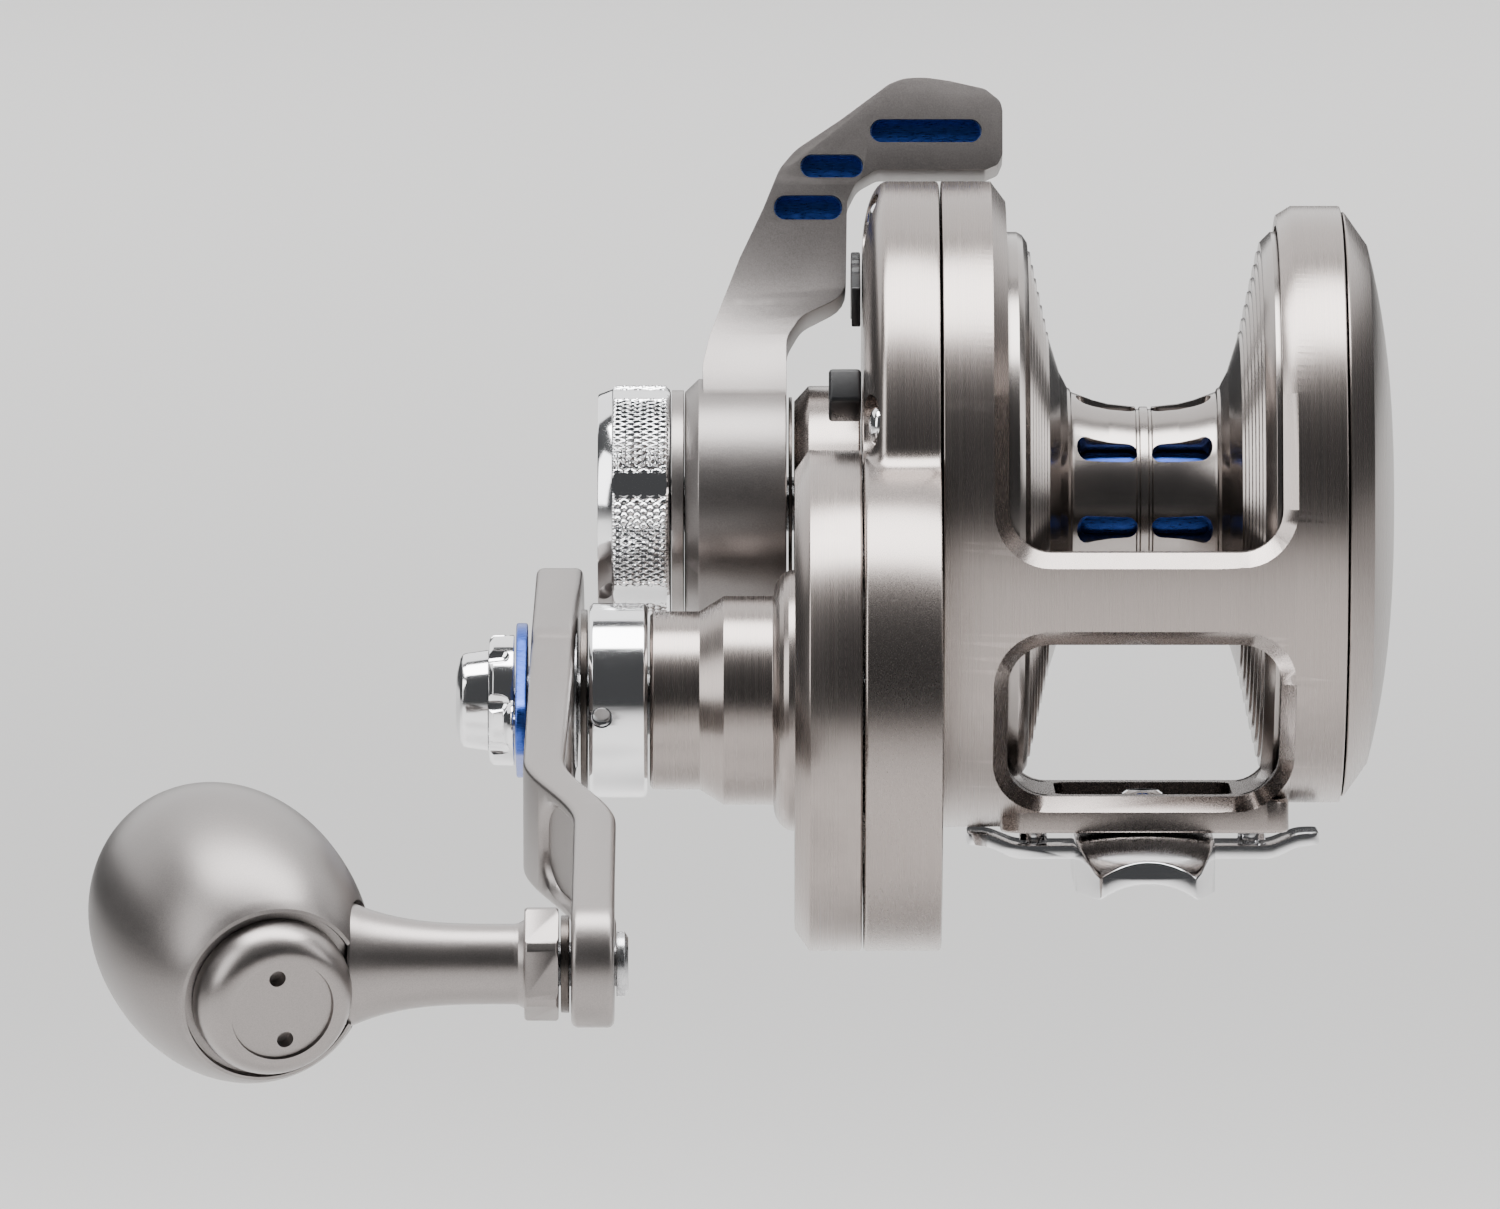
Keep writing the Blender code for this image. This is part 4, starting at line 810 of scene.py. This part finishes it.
def make_lever():
    """Drag lever: bevelled blade growing out of a stepped hub."""
    data = sliced(prism(lever_outline(), -1.0, 1.0, "Y"), ALONG_Z, [11.5 + 1.5 * step for step in range(24)])
    for vertex in data.verts:
        vertex.co.y *= lever_half(vertex.co.z)
    bmesh.ops.recalc_face_normals(data, faces=data.faces)
    blade = bevelled(data, 0.8, 4, 55)
    hub = lathe([(-65.4, HUB_ROOM), (-65.4, 16.0), (-63.4, 17.9), (-50.9, 17.9), (-50.9, HUB_ROOM)], 160,
                edge=0.35)
    cutters = [drill(-70.0, -45.0, HUB_ROOM, segments=96)]
    floor = LEVER_THIN - POCKET_DEPTH
    for side in (-1, 1):
        for outline in lever_pockets():
            cutters.append(prism(outline, side * floor, side * 12.0, "Y"))
    lever = combine(combine(blade, [hub], "UNION"), cutters)
    add_piece("lever_body", lever, BLASTED, "drag_lever", "drag_lever", SPOOL_AXIS, -LEVER_LEAN)
    for side, word in ((-1, "front"), (1, "rear")):
        for index, outline in enumerate(lever_pockets()):
            inlay = tray(outline, side * (floor + 0.02), side * (floor + 1.55), side * 0.25)
            add_piece(f"lever_inlay_{word}_{index + 1}", inlay, BLUE, "drag_lever", "", SPOOL_AXIS,
                      -LEVER_LEAN)


def tray(outline, floor, rim, thickness):
    """Thin liner for a pocket: a floor with an upright wall."""
    outer, inner = shrunk(outline, 0.03), shrunk(outline, 0.22)
    rings = []
    for points, y in ((outer, floor), (outer, rim), (inner, rim), (inner, floor + thickness)):
        rings.append([(x, y, z) for x, z in points])
    return loft(rings)


def shrunk(outline, amount):
    """An outline pulled in toward its middle by about the given amount."""
    middle = [sum(point[axis] for point in outline) / len(outline) for axis in (0, 1)]
    result = []
    for point in outline:
        reach = dist(point, middle)
        share = (reach - amount) / reach
        result.append(tuple(middle[axis] + (point[axis] - middle[axis]) * share for axis in (0, 1)))
    return result


KNURL_AROUND, KNURL_PITCH, KNURL_DEPTH = 108, 1.85, 0.30
KNOB_RADIUS, KNOB_LEFT, KNOB_RIGHT = 17.0, -75.6, -67.9
FLAT_REACH, FLAT_FIRST = 16.7, 46.6
SHAFT_FIT = 4.2


def knurled_radius(x, angle):
    """Radius of the knob's grip: diamond knurl with six plain flats."""
    along = pi * x / KNURL_PITCH
    around = angle * KNURL_AROUND / 2.0
    groove = max(abs(cos(along + around)), abs(cos(along - around))) ** 3
    reach = KNOB_RADIUS - KNURL_DEPTH * groove
    nearest = (degrees(angle) - FLAT_FIRST + 30.0) % 60.0 - 30.0
    return min(reach, FLAT_REACH / cos(radians(nearest)))


def make_preset_knob():
    """Strike knob: chamfered bright face, knurled grip with flats, hollow back."""
    segments = KNURL_AROUND * 8
    back = ((-74.3, SHAFT_FIT), (-67.4, SHAFT_FIT), (-67.4, 16.0), (-67.55, 16.35))
    rings = [circle_ring(x, radius, segments) for x, radius in back]
    columns = 40
    for step in range(columns + 1):
        x = KNOB_RIGHT + (KNOB_LEFT - KNOB_RIGHT) * step / columns
        ring = []
        for side in range(segments):
            angle = 2.0 * pi * side / segments
            radius = knurled_radius(x, angle)
            if step in (0, columns):
                radius = min(radius, KNOB_RADIUS - KNURL_DEPTH - 0.05)
            ring.append((x, radius * cos(angle), radius * sin(angle)))
        rings.append(ring)
    face = ((-75.75, 16.4), (-77.55, 15.75), (-77.75, 15.6), (-77.8, 15.3))
    rings += [circle_ring(x, radius, segments) for x, radius in face]
    add_piece("preset_knob_body", loft(rings), CHROME, "preset_knob", "preset_knob", SPOOL_AXIS, sharp=24)


def make_lever_washers():
    """Washers on both sides of the lever's hub."""
    for name, ring, finish in (("preset_washer", washer(-67.25, -65.55, SHAFT_FIT, 16.3), PRESET_WASHER),
                               ("lever_washer", washer(-50.6, -50.1, 9.0, 15.3), BRONZE)):
        add_piece(f"{name}_ring", ring, finish, "drag_lever", name, SPOOL_AXIS)

# ---------------- spool

SLOT_LENGTH, SLOT_WIDTH, SLOT_SHIFT = 8.2, 2.9, 5.1
SLOT_COUNT, SLOT_FIRST = 8, 10.0
LEFT_LIP = [(-20.3, 35.8), (-20.3, 38.65), (-20.05, 38.9), (-18.1, 38.9), (-17.3, 38.45)]
RIGHT_LIP = [(18.1, 38.9), (19.1, 38.9), (19.1, 35.8), (17.8, 35.8)]
FLANGE_TOP, FLANGE_FOOT, FLANGE_STEPS = 37.4, 24.0, 7


def spool_half():
    """Left half of the spool's outside, below its lip: stepped flange face, grooves, arbor."""
    half = [(-16.6, FLANGE_TOP)]
    for step in range(FLANGE_STEPS):
        share = (step + 1) / FLANGE_STEPS
        radius = FLANGE_TOP + (FLANGE_FOOT - FLANGE_TOP) * share
        x = -16.6 + 3.0 * share
        half += [(x - 0.42, radius + 0.75), (x + 0.02, radius + 0.55), (x, radius)]
    half += [(-12.0, 18.9), (-11.2, 17.4), (-10.9, 16.75), (-10.5, 16.5), (-10.3, 16.05), (-9.9, 15.9)]
    half += [(-7.2, 14.9), (-5.0, 14.35), (-1.2, 13.95), (-1.05, 13.6), (-0.7, 13.6), (-0.55, 13.95)]
    return half


def slot_outline():
    """Rounded slot in the arbor, (x, distance round the arbor)."""
    reach = SLOT_LENGTH / 2 - SLOT_WIDTH / 2
    outline = arc((reach, 0.0), SLOT_WIDTH / 2, -90, 90, 8)
    return outline + arc((-reach, 0.0), SLOT_WIDTH / 2, 90, 270, 8)


def make_spool():
    """Machined spool with slotted arbor."""
    left = spool_half()
    outside = LEFT_LIP + left + [(-x, radius) for x, radius in reversed(left)] + RIGHT_LIP
    inside = [(17.8, 30.0), (14.6, 22.0), (13.4, 17.6), (16.6, 14.0), (16.6, 9.3), (12.6, 9.3)]
    inside += [(12.6, 12.6), (-12.6, 12.6), (-12.6, 9.3), (-16.6, 9.3), (-16.6, 14.0), (-13.4, 17.6)]
    inside += [(-14.8, 22.0), (-18.0, 30.0)]
    spool = lathe(outside + inside, 224, edge=0.12)
    cutters = []
    for index in range(SLOT_COUNT):
        turn = Matrix.Rotation(radians(SLOT_FIRST + 360.0 * index / SLOT_COUNT), 4, "X")
        for shift in (-SLOT_SHIFT, SLOT_SHIFT):
            rings = []
            for height, grow in ((10.5, 0.0), (13.9, 0.0), (15.2, 0.55), (22.0, 0.9)):
                wider = 1.0 + 2.0 * grow / SLOT_WIDTH
                rings.append([(shift + x + copysign(grow * 0.8, x), y * wider, height)
                              for x, y in slot_outline()])
            cutters.append(moved(loft(rings), turn))
    spool = combine(spool, cutters)
    add_piece("spool_body", spool, POLISHED_GREY, "spool", "spool", SPOOL_AXIS)
    sleeve = washer(-11.0, 11.0, 8.4, 12.2, 0.3, 128)
    add_piece("arbor_sleeve_tube", sleeve, BLUE, "spool", "arbor_sleeve", SPOOL_AXIS)

# ---------------- crank and its stack


def on_crank(node, word, data, finish, body="crank"):
    add_piece(f"{node}_{word}", data, finish, body, node, CRANK_AXIS, CRANK_DROP)


ARM_OUTER, ARM_THICKNESS = -87.5, 5.8
JOG_START, JOG_END, JOG_DEPTH = 47.0, 72.0, 7.25
ARM_HALF_WIDTH, ARM_HUB, ARM_TAIL, TAIL_RADIUS = 8.6, 11.0, 35.8, 10.2
LEAN_OUTER, LEAN_INNER = 1.15, 2.0
TAIL_HOLES = (15.6, 27.0)
LOCK_PLACE = (-13.8, 1.4)
LOCK_FACE, LOCK_THICKNESS = -87.4, 1.6
CRANK_FIT, SPINDLE_FIT = 5.1, 3.3
GRUB_PLACE, GRUB_ANGLE = -76.9, -9.4


def arm_outline():
    """Arm in its own plane: the grip end is at -y, the tail behind the shaft at +y."""
    half = [(-60.0, 8.5), (-34.0, 8.4), (-22.0, 8.6), (-13.0, 9.6), (-7.5, 10.4)]
    half += arc((0.0, 0.0), ARM_HUB, 110, 88, 5)
    half += arc((ARM_TAIL - TAIL_RADIUS, 0.0), TAIL_RADIUS, 87, 0, 16)
    far = arc((-ARM_THROW, 0.0), ARM_HALF_WIDTH, 270, 90, 28)
    return far + half + [(y, -z) for y, z in reversed(half[:-1])]


def arm_shift(y, inner):
    """How far the arm's faces stand from the straight slab at a place along it."""
    along = min(1.0, max(0.0, (-y - JOG_START) / (JOG_END - JOG_START)))
    behind = max(0.0, y + JOG_START) / (JOG_START + ARM_TAIL)
    lean = LEAN_OUTER + (LEAN_INNER - LEAN_OUTER) * inner
    return JOG_DEPTH * along * along * (3.0 - 2.0 * along) + lean * behind


def make_arm():
    """Joggled crank arm with bevelled edges, dished webs and drive holes."""
    steps = 26
    bends = [-(JOG_START - 3.0 + (JOG_END - JOG_START + 6.0) * step / steps) for step in range(steps + 1)]
    data = sliced(prism(arm_outline(), ARM_OUTER, ARM_OUTER + ARM_THICKNESS), ALONG_Y, bends)
    arm = bevelled(data, 0.9, 4, 50)
    webs = []
    for inner, outer, half in ((-96.0, -57.0, 6.2), (-46.0, -21.0, 6.0)):
        for face, depth in ((ARM_OUTER, 1.1), (ARM_OUTER + ARM_THICKNESS, -1.1)):
            webs.append(web_cutter(inner, outer, half, face, depth))
    arm = combine(arm, webs)
    for vertex in arm.verts:
        inner = min(1.0, max(0.0, (vertex.co.x - ARM_OUTER) / ARM_THICKNESS))
        vertex.co.x += arm_shift(vertex.co.y, inner)
    holes = [drill(-95.0, -70.0, CRANK_FIT), drill(-81.6, -70.0, 9.9, segments=96)]
    for reach in TAIL_HOLES:
        holes.append(drill(-95.0, -70.0, 3.2, (reach, 0.0), 48))
    for place, radius in ((LOCK_PLACE, 1.6), ((-ARM_THROW, 0.0), SPINDLE_FIT)):
        holes.append(drill(-95.0, -70.0, radius, place, 48))
    on_crank("handle_arm", "body", combine(arm, holes), GREY_SATIN)


def web_cutter(inner, outer, half, face, depth):
    """Shallow dish with rounded ends for one face of the arm."""
    rings = []
    for share, grow in ((0.0, 0.0), (0.6, 0.25), (1.0, 0.8), (3.0, 1.4)):
        ring = []
        for y, z in rounded_box(inner - grow, outer + grow, -half - grow, half + grow, 5.0 + grow, 8):
            ring.append((face + depth - depth * share, y, z))
        rings.append(ring)
    return sliced(loft(rings), ALONG_Y, [inner + (outer - inner) * step / 12 for step in range(1, 12)])


def hull_outline(first_radius, second, second_radius, steps=24):
    """Two circles on their common tangents, the first of them round the origin."""
    lean = degrees(acos((first_radius - second_radius) / hypot(*second)))
    heading = degrees(atan2(second[1], second[0]))
    outline = arc((0.0, 0.0), first_radius, heading + lean, heading + 360 - lean, steps * 2)
    return outline + arc(second, second_radius, heading - lean, heading + lean, steps)


def make_crank_stack():
    """Collar, spacer, washer, lock plate with its screw, fluted nut and shift button."""
    collar = [(-78.7, CRANK_FIT), (-78.7, 13.2), (-78.2, 13.7), (-71.0, 13.7), (-70.5, 13.2)]
    collar = lathe(collar + [(-70.5, CRANK_FIT)], 160, edge=0.2)
    grub = lathe([(10.9, 0.0), (10.9, 1.2), (13.0, 1.2), (15.0, 2.2), (15.0, 0.0)], 40, edge=0)
    moved(grub, Matrix.Rotation(radians(GRUB_ANGLE), 4, "X") @ Matrix.Rotation(-pi / 2, 4, "Z"))
    slide(grub, GRUB_PLACE)
    on_crank("crank_collar", "body", combine(collar, [grub]), CHROME)
    on_crank("crank_spacer", "ring", washer(-79.9, -79.0, CRANK_FIT, 12.8), BRONZE)
    on_crank("crank_washer", "ring", washer(-81.3, -80.4, CRANK_FIT, 9.5), STEEL)

    left = LOCK_FACE - LOCK_THICKNESS
    plate = bevelled(prism(hull_outline(10.9, LOCK_PLACE, 4.6), left, LOCK_FACE), 0.3)
    bores = [drill(-95.0, -80.0, CRANK_FIT), drill(-95.0, -80.0, 1.6, LOCK_PLACE, 32)]
    on_crank("lock_plate", "body", combine(plate, bores), BLUE)

    head = left - 0.3
    screw = [(head - 1.6, 0.0), (head - 1.55, 0.9), (head - 1.3, 1.9), (head - 0.8, 2.8), (head - 0.3, 3.3)]
    screw += [(head, 3.4), (head, 1.3), (-83.4, 1.3), (-83.4, 0.0)]
    screw = combine(lathe(screw, 64, LOCK_PLACE, 0.08), [hex_socket(head - 1.6, 1.3, 1.1, LOCK_PLACE)])
    on_crank("lock_screw", "body", screw, CHROME)

    nut = [(-92.8, 7.5), (-92.8, 8.6), (-92.2, 9.2), (head, 9.2), (head, CRANK_FIT)]
    nut = lathe(nut + [(head - 0.3, CRANK_FIT), (head - 0.3, 7.5)], 192, edge=0.18)
    flute = [(-93.9, 0.0), (-93.9, 1.9), (-91.0, 1.6), (-90.2, 1.3), (-89.8, 0.8), (-89.7, 0.0)]
    flutes = [lathe(flute, 32, polar(10.1, 163 - 45 * step), 0) for step in range(8)]
    on_crank("handle_nut", "body", combine(nut, flutes), CHROME)

    button = [(-97.5, 0.0), (-97.48, 3.8), (-97.3, 4.6), (-96.9, 5.9), (-96.5, 6.5), (-96.0, 6.65)]
    button += [(-92.9, 7.1), (-92.9, 2.1), (-94.4, 2.1), (-94.4, 0.0)]
    on_crank("shift_button", "body", lathe(button, 128, edge=0.15), CHROME, "shift_button")
    low, high = span("crank_shaft")
    shaft = [(-36.0, 0.0), (-36.0, 2.2), (low[0], 2.2), (low[0], 4.8), (high[0], 4.8), (high[0], 0.0)]
    on_crank("crank_shaft", "body", lathe(shaft, 96, edge=0.25), STEEL)

# ---------------- grip

EGG_LENGTH, EGG_RADIUS, EGG_SEAM, EGG_END, EGG_BLUNTNESS = 56.4, 18.15, 20.7, 26.0, 2.16
EGG_CENTRE_X, EGG_OFFSET = -126.7, 10.1
EGG_TWIST, EGG_TILT = asin(0.298), radians(20.3)
CAP_RECESS, CAP_GROOVE, CAP_FLAT = 0.9, 1.75, 7.5
SPANNER_HOLES = 4.6


def egg_radius(along):
    """Radius of the egg at a distance from its middle, along its own axis."""
    return EGG_RADIUS * sqrt(1.0 - abs(2.0 * along / EGG_LENGTH) ** EGG_BLUNTNESS)


def on_grip(node, word, data, finish, body="grip"):
    add_piece(f"{node}_{word}", data, finish, body, node, GRIP_AXIS)


def along_egg(data):
    """Swing a piece turned about X onto the egg's own axis, which slants across the spindle."""
    turn = Matrix.Rotation(EGG_TILT, 4, "X") @ Matrix.Rotation(EGG_TWIST - pi / 2, 4, "Z")
    moved(data, turn)
    return slide(data, EGG_CENTRE_X, EGG_OFFSET * cos(EGG_TILT), EGG_OFFSET * sin(EGG_TILT))


def make_grip():
    """Egg-shaped grip: waisted stem, smooth body and two screwed-in end caps."""
    stem = [(-82.0, 5.5), (-82.0, 7.4), (-82.3, 7.75), (-86.2, 7.75), (-86.6, 7.4), (-86.6, 6.0)]
    stem.append((-87.4, 5.55))
    for step in range(15):
        share = step / 14
        stem.append((-88.0 - 22.0 * share, 5.45 + 2.95 * share ** 3.4))
    stem += [(-110.4, 8.4), (-110.4, 5.0), (-117.0, 5.0), (-117.0, 3.4), (-85.6, 3.4), (-85.6, 5.5)]
    stem = lathe(stem, 128, edge=0.15)
    flats = []
    for turn in range(6):
        cut = prism([(7.0, -8.0), (12.0, -8.0), (12.0, 8.0), (7.0, 8.0)], -86.4, -80.0)
        flats.append(moved(cut, Matrix.Rotation(radians(60 * turn + 8), 4, "X")))
    on_grip("grip_stem", "body", combine(stem, flats), GREY_SATIN)
    bearing = washer(-85.3, -82.3, SPINDLE_FIT, 5.2, 0.2, 64)
    on_grip("grip_bearing", "ring", bearing, STEEL)

    rim, steps = egg_radius(EGG_SEAM), 56
    half = [(EGG_SEAM - CAP_RECESS, 0.0), (EGG_SEAM - CAP_RECESS, rim - 0.7), (EGG_SEAM, rim - 0.5)]
    body = [(-x, r) for x, r in half]
    for step in range(steps + 1):
        along = (EGG_SEAM - 0.12) * (2.0 * step / steps - 1.0)
        body.append((along, egg_radius(along) - (0.1 if step in (0, steps) else 0.0)))
    egg = along_egg(lathe(body + half[::-1], 192, edge=0))
    seat = lathe([(-110.7, 0.0), (-110.7, 8.7), (-92.0, 9.2), (-92.0, 0.0)], 96, edge=0)
    shell = combine(egg, [seat, drill(-117.4, -96.0, 5.3)])
    on_grip("grip_body", "shell", shell, BLASTED)
    make_grip_cap("front", 1.0, rim - CAP_GROOVE)
    make_grip_cap("rear", -1.0, rim - CAP_GROOVE)

    low, high = span("grip_spindle")
    pin = [(low[0], 0.0), (low[0], 3.0), (high[0] - 1.6, 3.0), (high[0] - 1.6, 4.4), (high[0] - 0.5, 4.4)]
    pin += [(high[0], 3.6), (high[0], 0.0)]
    on_grip("grip_spindle", "pin", lathe(pin, 64, edge=0.12), STEEL, "crank")
    low, high = span("spindle_washer")
    ring = washer(low[0], high[0], SPINDLE_FIT, 6.6)
    on_grip("spindle_washer", "ring", ring, BRONZE, "crank")


def make_grip_cap(word, sign, side):
    """Domed end cap with two spanner holes; its side stands clear of the egg's rim."""
    foot = EGG_SEAM + 0.3
    cap = [(foot - CAP_RECESS, 0.0), (foot - CAP_RECESS, side), (foot, side)]
    cap += quarter(cap[-1], (EGG_END, CAP_FLAT), 16)
    cap += [(EGG_END, CAP_FLAT - 0.35), (EGG_END - 0.6, CAP_FLAT - 0.5)]
    cap.append((EGG_END - 0.6, 0.0))
    cap = lathe([(sign * x, r) for x, r in cap], 160, edge=0)
    holes = []
    for turn in (96, 276):
        place = polar(SPANNER_HOLES, turn)
        holes.append(drill(sign * (EGG_END - 2.6), sign * (EGG_END + 2.0), 1.15, place, 32))
    cap = combine(along_egg(combine(cap, holes)), [drill(-110.7, -92.0, 8.75, segments=96)])
    on_grip(f"grip_cap_{word}", "body", cap, GREY_SATIN)

# ---------------- assembly

for make in (dress_frame, make_frame, make_side_plate, make_cover_screws, make_gear_lid, make_stops,
             make_palm_plate, make_foot, make_lever, make_preset_knob, make_lever_washers, make_spool,
             make_arm, make_crank_stack, make_grip):
    make()

# ---------------- studio

FLOOR_GAP, FLOOR_REACH = 2.0, 30.0


def make_stage():
    """Plain pale floor, below the lowest place that the grip swings through."""
    swing = ARM_THROW + EGG_OFFSET + EGG_LENGTH / 2
    level = (CRANK_AXIS[1] - swing - FLOOR_GAP) * MM
    data = bmesh.new()
    corners = [(-FLOOR_REACH, -FLOOR_REACH), (FLOOR_REACH, -FLOOR_REACH)]
    corners += [(FLOOR_REACH, FLOOR_REACH), (-FLOOR_REACH, FLOOR_REACH)]
    data.faces.new([data.verts.new((x, y, level)) for x, y in corners])
    mesh = as_mesh(data, "floor")
    paper = Finish("floor_paper", (0.80, 0.79, 0.78), 0.85, 0.0)
    grain = paper.noise(900.0, 4.0)
    paper.colour(paper.mixed(grain, (0.79, 0.78, 0.77), (0.82, 0.81, 0.80)))
    mesh.materials.append(paper.material)
    linked("floor", mesh)


def area_light(name, place, target, width, depth, power):
    """Soft box that faces its target."""
    light = bpy.data.lights.new(name, "AREA")
    light.shape = "RECTANGLE"
    light.size = width
    light.size_y = depth
    light.energy = power
    lamp = linked(name, light)
    lamp.location = place
    lamp.rotation_euler = (Vector(target) - Vector(place)).to_track_quat("-Z", "Y").to_euler()


def make_lights():
    """Soft boxes round the reel, one that lights the far floor, and a dim grey sky."""
    target = (-0.05, 0.0, 0.04)
    area_light("soft_box_top", (-0.05, -0.10, 0.72), target, 0.9, 0.40, 17.0)
    area_light("soft_box_left", (-0.75, -0.45, 0.40), target, 0.35, 0.7, 4.0)
    area_light("soft_box_right", (0.70, -0.30, 0.45), target, 0.25, 0.6, 2.2)
    area_light("soft_box_far", (0.0, 5.2, 2.4), (0.0, 5.2, 0.0), 10.0, 8.4, 560.0)
    world = bpy.data.worlds.new("studio")
    world.use_nodes = True
    fill(world.node_tree.nodes["Background"], {"Color": (0.55, 0.56, 0.58, 1.0), "Strength": 0.14})
    bpy.context.scene.world = world


CAMERA_DISTANCE = 2.5
CAMERA_DIP = radians(4)
CAMERA_LENGTH = 420.0
AIM = (-0.0561, -0.0010, 0.0367)


def make_camera():
    """Long lens from the front, a few degrees above level."""
    view = bpy.data.cameras.new("camera")
    view.lens = CAMERA_LENGTH
    view.sensor_width = 36.0
    camera = linked("camera", view)
    forward = Vector((0.0, cos(CAMERA_DIP), -sin(CAMERA_DIP)))
    camera.location = Vector(AIM) - forward * CAMERA_DISTANCE
    camera.rotation_euler = forward.to_track_quat("-Z", "Y").to_euler()
    bpy.context.scene.camera = camera


make_stage()
make_lights()
make_camera()
